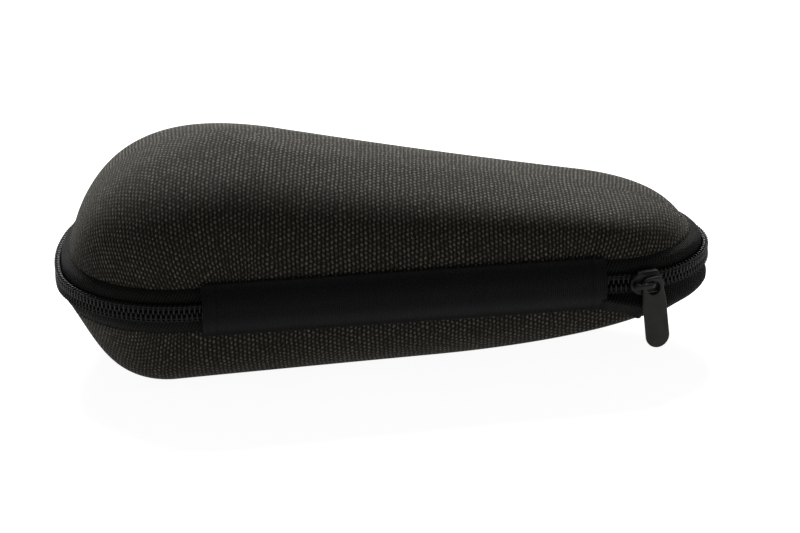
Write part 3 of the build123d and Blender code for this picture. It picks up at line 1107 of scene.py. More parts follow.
    def build_casting(self) -> bpy.types.NodeTree:
        """Painted casting: fine orange peel, with thin paint and wear on raised edges.

        Returns:
            The effect.
        """
        tree, sketch, given, result = effect_tree(
            "casting", ("Grain",), ("Height", "Wear", "Roughness")
        )
        place = sketch.add("ShaderNodeTexCoord").outputs["Object"]
        peel = sketch.noise(place, given.outputs["Grain"]).outputs["Fac"]
        smear = sketch.noise(place, 420.0, 3.0).outputs["Fac"]
        edge = sketch.add("ShaderNodeNewGeometry").outputs["Pointiness"]
        worn = sketch.math("MULTIPLY", sketch.ramp(edge, 0.53, 0.62), sketch.ramp(smear, 0.4, 0.6))
        sketch.feed(result.inputs["Height"], peel)
        sketch.feed(result.inputs["Wear"], worn)
        sketch.feed(result.inputs["Roughness"], sketch.ramp(smear, 0.3, 0.7, (-0.06, 0.06)))
        return tree


EFFECTS = Effects()


def shade(code: str) -> tuple[float, float, float, float]:
    """Colour from a six-digit sRGB code."""
    values = [int(code[k : k + 2], 16) / 255 for k in (0, 2, 4)]
    linear = [v / 12.92 if v <= 0.04045 else ((v + 0.055) / 1.055) ** 2.4 for v in values]
    return (*linear, 1.0)


class Finish:
    """A material under construction: a sketch, its cloth coordinates and its shader."""

    def __init__(self, name: str, **constants: float) -> None:
        """Start a material.

        Args:
            name: The material's name.
            **constants: Values for the shader's own sockets.
        """
        self.material = bpy.data.materials.new(name)
        self.material.use_nodes = True
        self.sketch = NodeSketch(self.material.node_tree)
        nodes = self.material.node_tree.nodes
        self.shader = nodes["Principled BSDF"]
        for key, value in constants.items():
            socket = key.replace("_", " ").title().replace("Ior", "IOR")
            self.shader.inputs[socket].default_value = value
        self.cloth = self.sketch.add("ShaderNodeUVMap", uv_map="cloth").outputs[0]

    def colour(self, value: object) -> None:
        """Set the base colour."""
        self.sketch.feed(self.shader.inputs["Base Color"], value)

    def roughness(self, value: object) -> None:
        """Set the roughness."""
        self.sketch.feed(self.shader.inputs["Roughness"], value)

    def relief(self, height: Socket, depth: float) -> None:
        """Raise the surface by a height pattern.

        Args:
            height: The pattern.
            depth: Its greatest height, in metres.
        """
        inputs = {"Height": height, "Distance": depth, "Strength": 1.0}
        bump = self.sketch.add("ShaderNodeBump", inputs)
        self.sketch.feed(self.shader.inputs["Normal"], bump.outputs[0])


@dataclass(frozen=True)
class CanvasFinish:
    """Woven canvas of the outside: brown-grey floats on near-black yarn, with painted shade in the
    grooves between its columns.
    """

    # Painted shade in the grooves between the columns, darker than the yarn itself.
    gap: str = "1b1a15"
    ground: str = "2d2b25"
    ground_lift: str = "45413a"
    light: str = "6f6a5e"
    light_lift: str = "a19989"
    column_pitch: float = 1.24
    row_pitch: float = 1.46
    disorder: float = 0.9
    fineness: float = 5200.0
    depth: float = 0.5

    def build(self) -> bpy.types.Material:
        """Make the material.

        Returns:
            The material.
        """
        finish = Finish("cover_canvas", specular_ior_level=0.12, sheen_weight=0.03)
        sketch = finish.sketch
        weave = sketch.effect(
            EFFECTS.dotted_weave,
            vector=finish.cloth,
            column_pitch=self.column_pitch * MM,
            row_pitch=self.row_pitch * MM,
            disorder=self.disorder * MM,
        )
        lint = sketch.effect(EFFECTS.lint, vector=finish.cloth, fineness=self.fineness)
        ground = sketch.blend(lint.outputs["Fibre"], shade(self.ground), shade(self.ground_lift))
        # Painted shade: the gap colour darkens the grooves between the columns.
        ground = sketch.blend(weave.outputs["Unshaded Cord"], shade(self.gap), ground)
        bright = sketch.math("MULTIPLY", weave.outputs["Tone"], lint.outputs["Fibre"])
        light = sketch.blend(bright, shade(self.light), shade(self.light_lift))
        fading = sketch.ramp(weave.outputs["Tone"], 0, 0.6, (0.55, 1.0))
        faded = sketch.math("MULTIPLY", weave.outputs["Light Yarn"], fading)
        finish.colour(sketch.blend(faded, ground, light))
        finish.roughness(sketch.ramp(lint.outputs["Fibre"], 0, 1, (0.78, 0.95)))
        fuzz = sketch.math("MULTIPLY_ADD", lint.outputs["Fibre"], 0.14, weave.outputs["Height"])
        finish.relief(fuzz, self.depth * MM)
        return finish.material


@dataclass(frozen=True)
class RibbedFinish:
    """Dense narrow cloth: zip tape, hinge cloth, binding ribbon or lining."""

    name: str
    dark: str
    pale: str
    rib_pitch: float
    yarn_pitch: float
    lean: float = 0.0
    depth: float = 0.1
    sheen: float = 0.05
    specular: float = 0.2
    fineness: float = 6000.0

    def build(self) -> bpy.types.Material:
        """Make the material.

        Returns:
            The material.
        """
        finish = Finish(self.name, specular_ior_level=self.specular, sheen_weight=self.sheen)
        sketch = finish.sketch
        weave = sketch.effect(
            EFFECTS.ribbed_weave,
            vector=finish.cloth,
            rib_pitch=self.rib_pitch * MM,
            yarn_pitch=self.yarn_pitch * MM,
            lean=self.lean,
        )
        lint = sketch.effect(EFFECTS.lint, vector=finish.cloth, fineness=self.fineness)
        share = sketch.math("MULTIPLY", weave.outputs["Height"], 0.7)
        share = sketch.math("MULTIPLY_ADD", lint.outputs["Fibre"], 0.3, share)
        share = sketch.math("MULTIPLY", share, sketch.ramp(lint.outputs["Drift"], 0, 1, (0.8, 1.0)))
        finish.colour(sketch.blend(share, shade(self.dark), shade(self.pale)))
        finish.roughness(sketch.ramp(lint.outputs["Fibre"], 0, 1, (0.72, 0.92)))
        fuzz = sketch.math("MULTIPLY_ADD", lint.outputs["Fibre"], 0.2, weave.outputs["Height"])
        finish.relief(fuzz, self.depth * MM)
        return finish.material


@dataclass(frozen=True)
class YarnFinish:
    """Twisted thread or cord, or smooth monofilament when its twist is shallow."""

    name: str
    dark: str
    pale: str
    twist_pitch: float
    roughness: float
    depth: float
    specular: float = 0.4
    lean: float = 0.8
    fineness: float = 7000.0

    def build(self) -> bpy.types.Material:
        """Make the material.

        Returns:
            The material.
        """
        finish = Finish(self.name, specular_ior_level=self.specular)
        sketch = finish.sketch
        plies = sketch.effect(
            EFFECTS.ribbed_weave,
            vector=finish.cloth,
            rib_pitch=self.twist_pitch * MM,
            yarn_pitch=self.twist_pitch * 3 * MM,
            lean=self.lean,
        )
        lint = sketch.effect(EFFECTS.lint, vector=finish.cloth, fineness=self.fineness)
        finish.colour(sketch.blend(plies.outputs["Rib"], shade(self.dark), shade(self.pale)))
        spread = (self.roughness - 0.06, self.roughness + 0.08)
        finish.roughness(sketch.ramp(lint.outputs["Fibre"], 0, 1, spread))
        finish.relief(plies.outputs["Rib"], self.depth * MM)
        return finish.material


@dataclass(frozen=True)
class FoamFinish:
    """Fine closed-cell foam between cover and lining."""

    dark: str = "1b1b1c"
    pale: str = "2c2c2d"
    cells: float = 2600.0
    depth: float = 0.12

    def build(self) -> bpy.types.Material:
        """Make the material.

        Returns:
            The material.
        """
        finish = Finish("laminate_foam", specular_ior_level=0.2)
        sketch = finish.sketch
        place = sketch.add("ShaderNodeTexCoord").outputs["Object"]
        cells = sketch.add("ShaderNodeTexVoronoi", {"Vector": place, "Scale": self.cells})
        share = sketch.ramp(cells.outputs["Distance"], 0.1, 0.6)
        finish.colour(sketch.blend(share, shade(self.dark), shade(self.pale)))
        finish.roughness(sketch.ramp(share, 0, 1, (0.8, 0.95)))
        finish.relief(share, self.depth * MM)
        return finish.material


@dataclass(frozen=True)
class CastingFinish:
    """Black painted zinc, with thin paint on its edges."""

    name: str
    paint: str
    worn: str
    roughness: float
    grain: float
    specular: float = 0.5
    depth: float = 0.02

    def build(self) -> bpy.types.Material:
        """Make the material.

        Returns:
            The material.
        """
        finish = Finish(self.name, specular_ior_level=self.specular)
        sketch = finish.sketch
        casting = sketch.effect(EFFECTS.casting, grain=self.grain)
        finish.colour(sketch.blend(casting.outputs["Wear"], shade(self.paint), shade(self.worn)))
        finish.roughness(sketch.math("ADD", casting.outputs["Roughness"], self.roughness))
        finish.relief(casting.outputs["Height"], self.depth * MM)
        return finish.material


class Finishes:
    """Every material of the case, by what it is on."""

    def __init__(self) -> None:
        """Build them all."""
        self.canvas = CanvasFinish().build()
        self.tape = RibbedFinish(
            "zip_tape_twill", "0d0d0d", "383836", 1.05, 0.7, lean=0.5, depth=0.5,
            sheen=0.0, specular=0.06,
        ).build()
        self.hinge = RibbedFinish(
            "hinge_cloth", "070708", "242425", 0.6, 0.6, depth=0.24, sheen=0.03, specular=0.12
        ).build()
        self.lining = RibbedFinish(
            "lining_tricot", "141415", "232324", 0.9, 0.6, depth=0.1, sheen=0.2
        ).build()
        self.ribbon = RibbedFinish(
            "binding_grosgrain", "0f0f10", "202021", 0.8, 4.0, depth=0.16
        ).build()
        self.nylon = YarnFinish("zip_coil_nylon", "0a0a0b", "121213", 0.3, 0.45, 0.004, 0.2).build()
        self.thread = YarnFinish("sewing_thread", "141414", "292928", 0.35, 0.6, 0.03, 0.15).build()
        self.cord = YarnFinish("filler_cord_twist", "121212", "242424", 0.7, 0.75, 0.06).build()
        self.foam = FoamFinish().build()
        self.slider = CastingFinish("slider_paint", "080808", "2a2a28", 0.46, 2500.0, 0.2).build()
        self.tab = CastingFinish("tab_paint", "2b2a26", "43423d", 0.6, 4200.0, 0.22).build()


# ------------------------------------------------------------------ the pieces


def dress(
    piece: bpy.types.Object,
    finish: bpy.types.Material,
    body: str,
    node: str = "",
    ride: bool = True,
) -> bpy.types.Object:
    """Dress a finished piece.

    Args:
        piece: The piece.
        finish: Its material.
        body: The body that carries it.
        node: The node that it shows, if there is one.
        ride: Whether it rides rigidly on its body.

    Returns:
        The piece.
    """
    piece.data.materials.append(finish)
    if ride:
        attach(piece, body)
    if node:
        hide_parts(node)
    LOG.info("%s: %d faces on %s", piece.name, len(piece.data.polygons), body)
    return piece


@dataclass
class Shell:
    """The laminate of one half, with the binding inside its rim."""

    half: MouldedHalf
    body: str
    finishes: Finishes
    binding_thickness: float = 0.8
    binding_reach: float = 3.4
    binding_lip: float = 0.6
    stitch_pitch: float = 5.0
    stitch_length: float = 3.2
    stitch_radius: float = 0.25
    foam_step: float = 3.2
    lining_step: float = 2.0

    def build(self) -> None:
        """Build and dress every piece of this half."""
        self.build_cover()
        self.build_foam()
        self.build_lining()
        self.build_binding()
        self.build_stitches()

    def build_cover(self) -> None:
        """The woven outside."""
        name = f"{self.body}_cover_canvas"
        piece = self.half.layer(name, 0, COVER_THICKNESS, RIM_STEP, hemmed=True)
        dress(piece, self.finishes.canvas, self.body, f"{self.body}_cover")

    def build_foam(self) -> None:
        """The padding between cover and lining."""
        name = f"{self.body}_foam_layer"
        piece = self.half.layer(name, COVER_THICKNESS, FOAM_THICKNESS, self.foam_step)
        dress(piece, self.finishes.foam, self.body, f"{self.body}_foam")

    def build_lining(self) -> None:
        """The soft inside."""
        name = f"{self.body}_lining_cloth"
        piece = self.half.layer(name, LINING_DEPTH, LINING_THICKNESS, self.lining_step)
        dress(piece, self.finishes.lining, self.body, f"{self.body}_lining")

    def build_binding(self) -> None:
        """The ribbon over the seam inside the rim."""
        middle = self.half.crease - TAPE_THICKNESS - self.binding_thickness / 2
        lip = CREASE_INSET + LINING_DEPTH + LINING_THICKNESS + self.binding_lip / 2
        free = SEAM_INSET - self.binding_reach
        corners = np.array([(free, middle), (lip, middle), (lip, self.half.crease)])
        line = rounded_line(corners * (1, self.half.side.value))
        section = strip_section(line, self.binding_thickness)
        draft = MeshDraft()
        sweep_rim(draft, OUTLINE.stations(RIM_STEP), section, closed=True)
        piece = draft.finish(f"{self.body}_binding_ribbon")
        node = f"{self.body}_rim_binding"
        dress(piece, self.finishes.ribbon, self.body, node)

    def build_stitches(self) -> None:
        """The row of stitches through the binding."""
        side = self.half.side.value
        inset = SEAM_INSET - self.binding_reach / 2
        face = self.half.crease - TAPE_THICKNESS - self.binding_thickness
        count = round(OUTLINE.total() / self.stitch_pitch)
        reach = np.linspace(-1, 1, 9)
        dip = self.stitch_radius * (1.4 - 2 * np.sqrt(1 - reach**2))
        taper = self.stitch_radius * np.sqrt(np.clip(1.08 - reach**2, 0, 1))
        draft = MeshDraft()
        for index in range(count):
            stations = OUTLINE.total() * index / count + reach * self.stitch_length / 2
            path = OUTLINE.place(stations, inset, side * (face + dip))
            add_tube(draft, path, taper, UP, 8)
        piece = draft.finish(f"{self.body}_rim_stitches")
        node = f"{self.body}_binding_stitches"
        dress(piece, self.finishes.thread, self.body, node)


@dataclass
class ZipHalf:
    """One side of the zip: tape, coil, the thread that holds the coil, and its cord."""

    half: MouldedHalf
    body: str
    word: str
    finishes: Finishes
    parting: float = 0.45
    shoulder: float = 0.3
    bed_bend: float = 0.2
    seat: float = 0.7
    seam_fold: float = 0.4
    seam_lap: float = 2.4
    ripple: float = 0.14
    tape_bend: float = 0.45
    loop_pitch: float = 1.5
    loop_lean: float = 0.12
    loop_squareness: float = 0.6
    head_swell: float = 0.18
    wire_radius: float = 0.35
    head_overlap: float = 0.3
    cord_radius: float = 0.45
    thread_radius: float = 0.15
    thread_rows: tuple[float, float] = (1.4, 2.15)
    thread_rise: float = 0.06
    thread_dip: float = 0.38
    thread_sway: float = 0.1
    open_gap: float = 0.3
    open_run: float = 3.0

    def ends(self) -> tuple[float, float]:
        """Where the zip starts and finishes along the rim, both under the hinge band."""
        start = OUTLINE.side_length() - BAND_END_MARGIN - BAND_TUCK
        return start, OUTLINE.total() + BAND_START + BAND_TUCK

    def build(self) -> None:
        """Build and dress every piece of this side."""
        self.build_tape()
        self.build_coil()
        self.build_thread()
        self.build_cord()

    def corners(self, stations: np.ndarray) -> np.ndarray:
        """Corners of the tape's section, from the coil bed to the seam."""
        raise NotImplementedError

    def bends(self, stations: np.ndarray) -> np.ndarray:
        """Share of the shorter run that the tape's bends take at each station."""
        return np.full(len(stations), self.tape_bend)

    def build_tape(self) -> None:
        """The cloth tape, from under the coil to the seam inside the crease."""
        start, finish = self.ends()
        stations = np.linspace(start, finish, round(finish - start))
        corners = self.corners(stations) * (1, self.half.side.value)
        line = rounded_line(corners, self.bends(stations)[:, None])
        draft = MeshDraft()
        sweep_rim(draft, stations, strip_section(line, TAPE_THICKNESS))
        piece = draft.finish(f"{self.word}_tape_twill")
        dress(piece, self.finishes.tape, self.body, f"{self.word}_zip_tape")

    def part(self, stations: np.ndarray) -> np.ndarray:
        """How far this side stands off where the zip is open, up to the slider."""
        closed_from = OUTLINE.side_length() + 0.5 + self.open_run
        return self.open_gap * np.clip((closed_from - stations) / self.open_run, 0, 1)

    def build_coil(self) -> None:
        """The wound monofilament, one loop for each step along the chain."""
        side = self.half.side.value
        start, finish = self.ends()
        loops = int((finish - start) / self.loop_pitch)
        per_loop = 16
        turn = np.arange(loops * per_loop) / per_loop
        angle = turn * math.tau
        advance = turn - np.sin(angle) / math.tau * 0.92
        offset = 0.0 if side > 0 else 0.5
        lean = self.loop_lean * np.cos(angle + 0.6)
        stations = start + (advance + lean + offset) * self.loop_pitch
        outer = CHAIN_HALF_WIDTH - self.wire_radius
        head = -self.head_overlap + self.wire_radius * 0.4
        centre, reach = (outer + head) / 2, (outer - head) / 2
        swing = flat_topped(np.cos(angle), self.loop_squareness)
        height = side * (centre - reach * swing + self.part(stations))
        middle = COIL_DEPTH / 2
        lift = flat_topped(np.sin(angle), self.loop_squareness)
        inset = middle - (middle - self.wire_radius) * lift
        path = OUTLINE.place(stations, inset, height)
        at_head = np.exp(-((np.cos(angle) - 1) ** 2) / 0.1)
        swell = self.wire_radius * (1 + self.head_swell * at_head)
        draft = MeshDraft()
        add_tube(draft, path, swell, OUTLINE.heading(stations), 7)
        piece = draft.finish(f"{self.word}_coil_loops")
        dress(piece, self.finishes.nylon, self.body, f"{self.word}_zip_coil")

    def build_thread(self) -> None:
        """The chain stitch over the coil, which dips between its loops."""
        side = self.half.side.value
        start, finish = self.ends()
        per_loop = 8
        count = int((finish - start) / self.loop_pitch) * per_loop
        turn = np.arange(count) / per_loop
        stations = start + turn * self.loop_pitch
        wave = np.cos((turn - 0.5 + side / 4) * math.tau)
        high, low = self.thread_rise, self.thread_dip
        inset = (high + low) / 2 - (low - high) / 2 * wave
        normal = np.cross(OUTLINE.heading(stations), UP)
        draft = MeshDraft()
        for row in self.thread_rows:
            sway = self.thread_sway * np.sin((turn + row) * math.tau)
            height = side * (row + sway + self.part(stations))
            path = OUTLINE.place(stations, inset, height)
            add_tube(draft, path, self.thread_radius, normal, 6)
        piece = draft.finish(f"{self.word}_coil_thread")
        dress(piece, self.finishes.thread, self.body)

    def build_cord(self) -> None:
        """The filler cord inside the coil."""
        side = self.half.side.value
        start, finish = self.ends()
        stations = np.linspace(start + 0.4, finish - 0.4, round((finish - start) / 1.6))
        middle = side * (CHAIN_HALF_WIDTH + self.parting) / 2
        path = OUTLINE.place(stations, COIL_DEPTH / 2, middle)
        draft = MeshDraft()
        add_tube(draft, path, self.cord_radius, UP, 10)
        piece = draft.finish(f"{self.word}_cord_twist")
        dress(piece, self.finishes.cord, self.body, f"{self.word}_filler_cord")


@dataclass
class UpperZip(ZipHalf):
    """The side on the lid, whose tape swells between the coil and the crease."""

    belly_share: float = 0.34
    belly_swell: float = 0.75
    belly_lean: float = 0.1
    foot_rise: float = 0.3
    foot_turn: float = 1.6

    def corners(self, stations: np.ndarray) -> np.ndarray:
        """Work out the upper tape's section: coil bed, bellied wall and seam.

        Args:
            stations: Distances along the rim.

        Returns:
            Corner points by station and corner.
        """
        bed = COIL_DEPTH + TAPE_THICKNESS / 2
        shoulder, crease = CHAIN_HALF_WIDTH + self.shoulder, self.half.crease
        foot = self.half.wall_inset(stations) + self.seat
        ripple = self.ripple * np.sin(stations / 3.1) * np.sin(stations / 7.3 + 1.2)
        belly = bed + (foot - bed) * self.belly_share - self.belly_swell + ripple
        places = [
            (bed, self.parting),
            (bed, shoulder - self.bed_bend),
            (belly, (shoulder + crease) / 2 + self.belly_lean * (foot - CREASE_INSET)),
            (foot, crease - self.foot_rise),
            (foot + self.foot_turn, crease - self.seam_fold),
            (np.maximum(SEAM_INSET, foot + self.seam_lap), crease - self.seam_fold),
        ]
        return section_corners(stations, places)


@dataclass
class LowerZip(ZipHalf):
    """The side on the base, whose tape flares over the cover round the handle end.

    Beside the hinge band the tape is folded into a pocket, and under the tab it lies close.
    """

    belly_swell: float = 0.9
    foot_turn: float = 1.2
    flare_lead: float = 6.0
    flare_rise: float = 14.0
    flare_trail: float = 14.0
    flare_fall: float = 24.0
    flare_drop: float = 5.6
    flare_belly: float = 0.2
    flare_lift: float = 1.1
    flare_slack: float = 0.5
    close_swell: float = 0.6
    tab_angle: float = -67.0
    tab_room: float = 5.0
    pocket_length: float = 11.8
    pocket_lead: float = 1.5
    pocket_rise: float = 0.8
    pocket_trail: float = 1.0
    pocket_bend: float = 0.15
    pocket_shoulder: float = 1.3
    pocket_reach: float = 0.6
    pocket_ridge: float = 4.7
    pocket_slant: float = 2.8
    pocket_drop: float = 1.9

    def flare(self, stations: np.ndarray) -> np.ndarray:
        """Work out how far the lower tape spreads over the cover round the handle end.

        Args:
            stations: Distances along the rim.

        Returns:
            A share from 0 to 1 for each station.
        """
        side, arc = OUTLINE.spans()[1][:2]
        rise = np.clip((stations - side + self.flare_lead) / self.flare_rise, 0, 1)
        fall = np.clip((side + arc + self.flare_trail - stations) / self.flare_fall, 0, 1)
        return eased(rise) * eased(fall)

    def pocket(self, stations: np.ndarray) -> tuple[np.ndarray, np.ndarray]:
        """Work out the lower tape's folded end between the band and the slider.

        Args:
            stations: Distances along the rim.

        Returns:
            How far along the fold each place lies, and how much it stands out there.
        """
        first = OUTLINE.side_length() - BAND_END_MARGIN
        along = np.clip((stations - first) / self.pocket_length, 0, 1)
        last = first + self.pocket_length
        rise = np.clip((stations - first + self.pocket_lead) / self.pocket_rise, 0, 1)
        fall = np.clip((last + self.pocket_trail - stations) / self.pocket_trail, 0, 1)
        return along, rise * fall

    def under_tab(self, stations: np.ndarray) -> np.ndarray:
        """Where the lower tape lies close, so that the tab can swing in against it."""
        span = OUTLINE.spans()[0][1]
        tab = OUTLINE.side_length() + span[0, 2] * (math.radians(self.tab_angle) - span[0, 3])
        return np.exp(-(((stations - tab) / self.tab_room) ** 4))

    def bends(self, stations: np.ndarray) -> np.ndarray:
        """Share of the shorter run that the tape's bends take, which is less in the pocket."""
        tighter = (self.tape_bend - self.pocket_bend) * self.pocket(stations)[1]
        return super().bends(stations) - tighter

    def corners(self, stations: np.ndarray) -> np.ndarray:
        """Work out the lower tape's section, which flares and folds at the handle end.

        Args:
            stations: Distances along the rim.

        Returns:
            Corner points by station and corner.
        """
        flare, (along, pocket) = self.flare(stations), self.pocket(stations)
        close = self.under_tab(stations) * (1 - pocket)
        bed = COIL_DEPTH + TAPE_THICKNESS / 2
        shoulder, crease = CHAIN_HALF_WIDTH + self.shoulder, self.half.crease
        ripple = self.ripple * np.sin(stations / 2.7 + 0.5) * np.sin(stations / 6.1)
        drop = self.pocket_drop * (1 + along) * pocket
        spread = np.maximum((self.flare_drop + self.seam_fold) * flare, drop)
        edge = crease - self.seam_fold + spread
        flare = np.maximum(flare, pocket)
        lifted = flare * (1 - close)
        stand = self.flare_lift * lifted + self.flare_slack * flare
        foot = BASE.inset_below(stations, edge - crease) + self.seat - stand
        near = CREASE_INSET - self.close_swell
        low = self.flare_belly + ripple + (near - self.flare_belly) * close
        belly = ((bed + foot) / 2 - self.belly_swell + ripple) * (1 - flare) + low * flare
        belly = belly - (belly + self.pocket_reach * (0.5 + along)) * pocket
        ridge = (shoulder + edge) / 2 * (1 - close) + crease * close
        ridge = ridge - (ridge - self.pocket_ridge - self.pocket_slant * along) * pocket
        places = [
            (bed, self.parting),
            (bed, shoulder - self.bed_bend + self.pocket_shoulder * pocket),
            (belly, ridge),
            (foot, edge),
            (foot + self.foot_turn, edge - 0.5 * flare),
            (np.maximum(SEAM_INSET, foot + self.seam_lap), edge - 2.5 * flare),
        ]
        return section_corners(stations, places)


@dataclass
class Hinge:
    """The cloth band outside the hinge side and the lining cloth behind it."""

    finishes: Finishes
    thickness: float = 0.8
    proud: float = 0.9
    clearance: float = 0.35
    lap: float = 0.9
    shoulder: float = 2.95
    bend_reach: float = 2.6
    slot_clearance: float = 0.15
    fold_width: float = 3.8
    fold_rise: float = 0.3
    dent_depth: float = 0.2
    seam_place: float = 1.3
    seam_depth: float = 0.16
    slack: float = 0.12
    step: float = 0.35
    crease_lip: float = 0.6
    crease_swell: float = 0.35

    def axis_point(self, height: float) -> tuple[float, float, float]:
        """A point at a height over the hinge axis, in metres in the frame."""
        point = OUTLINE.place(np.array(OUTLINE.side_length() / 2), 0, height)
        return tuple((point * MM + ORIGIN).tolist())

    def make_cloth(
        self,
        name: str,
        stations: np.ndarray,
        line: np.ndarray,
        thickness: float,
        dressing: tuple[bpy.types.Material, str, str],
    ) -> None:
        """Make one cloth, baked in place in the frame and not attached to any body.

        Args:
            name: The piece's name.
            stations: Distances along the rim.
            line: The middle line of its section, or one for each station.
            thickness: How thick it is.
            dressing: Its finish, its slot, which is not used, and the node that it shows.
        """
        draft = MeshDraft()
        sweep_rim(draft, stations, strip_section(line, thickness))
        finish, slot, node = dressing
        piece = dress(draft.finish(name), finish, "base", node, ride=False)
        ends = self.axis_point(-self.bend_reach), self.axis_point(self.bend_reach)
        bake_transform(piece)

    def build(self) -> None:
        """Build and dress both cloths."""
        self.build_band()
        self.build_lining()

    def fold(self, stations: np.ndarray, first: float, last: float) -> np.ndarray:
        """Work out how far the folded ends stand up, with a dent at each fold's inner edge.

        Args:
            stations: Distances along the rim.
            first: Where the band starts.
            last: Where it ends.

        Returns:
            The rise at each station.
        """
        gap = np.minimum(stations - first, last - stations)
        step = np.clip((self.fold_width - gap) / 0.5, 0, 1)
        dent = np.exp(-(((gap - self.fold_width - 0.3) / 0.35) ** 2))
        groove = np.exp(-(((gap - self.seam_place) / 0.3) ** 2))
        return self.fold_rise * step - self.dent_depth * dent - self.seam_depth * groove

    def build_band(self) -> None:
        """The outer band, bowed over both creases, with folded ends."""
        first, last = BAND_START, OUTLINE.side_length() - BAND_END_MARGIN
        stations = np.linspace(first, last, round((last - first) / self.step))
        rise = self.fold(stations, first, last)
        slack = self.slack * np.sin(stations / 11) * np.sin(stations / 4.7)
        edge = CREASE_INSET - self.clearance - self.thickness / 2 - rise
        bow = self.thickness / 2 - self.proud - rise + slack
        places = [
            (edge, LID.crease + self.lap),
            (edge - self.crease_swell, LID.crease - self.crease_lip),
            (bow, self.shoulder),
            (bow, -self.shoulder),
            (edge - self.crease_swell, self.crease_lip - BASE.crease),
            (edge, -BASE.crease - self.lap),
        ]
        line = rounded_line(section_corners(stations, places), 0.45)
        dressing = (self.finishes.hinge, "hinge_cloth", "hinge_band")
        self.make_cloth("hinge_band_cloth", stations, line, self.thickness, dressing)

    def build_lining(self) -> None:
        """The inner cloth, tucked into both rim seams."""
        first = BAND_START + BAND_TUCK
        last = OUTLINE.side_length() - BAND_END_MARGIN - BAND_TUCK
        stations = np.linspace(first, last, round((last - first) / RIM_STEP))
        middle = COIL_DEPTH + self.thickness / 2
        fold = CREASE_INSET + self.thickness / 2
        lid_seam = LID.crease - self.thickness / 2
        base_seam = BASE.crease - self.thickness / 2
        corners = np.array(
            [
                (SEAM_INSET, lid_seam),
                (fold, lid_seam),
                (middle, self.shoulder),
                (middle, -self.shoulder),
                (fold, -base_seam),
                (SEAM_INSET, -base_seam),
            ]
        )
        thickness = self.thickness - 2 * self.slot_clearance
        dressing = (self.finishes.lining, "lining_cloth", "hinge_lining")
        self.make_cloth("hinge_lining_cloth", stations, rounded_line(corners), thickness, dressing)


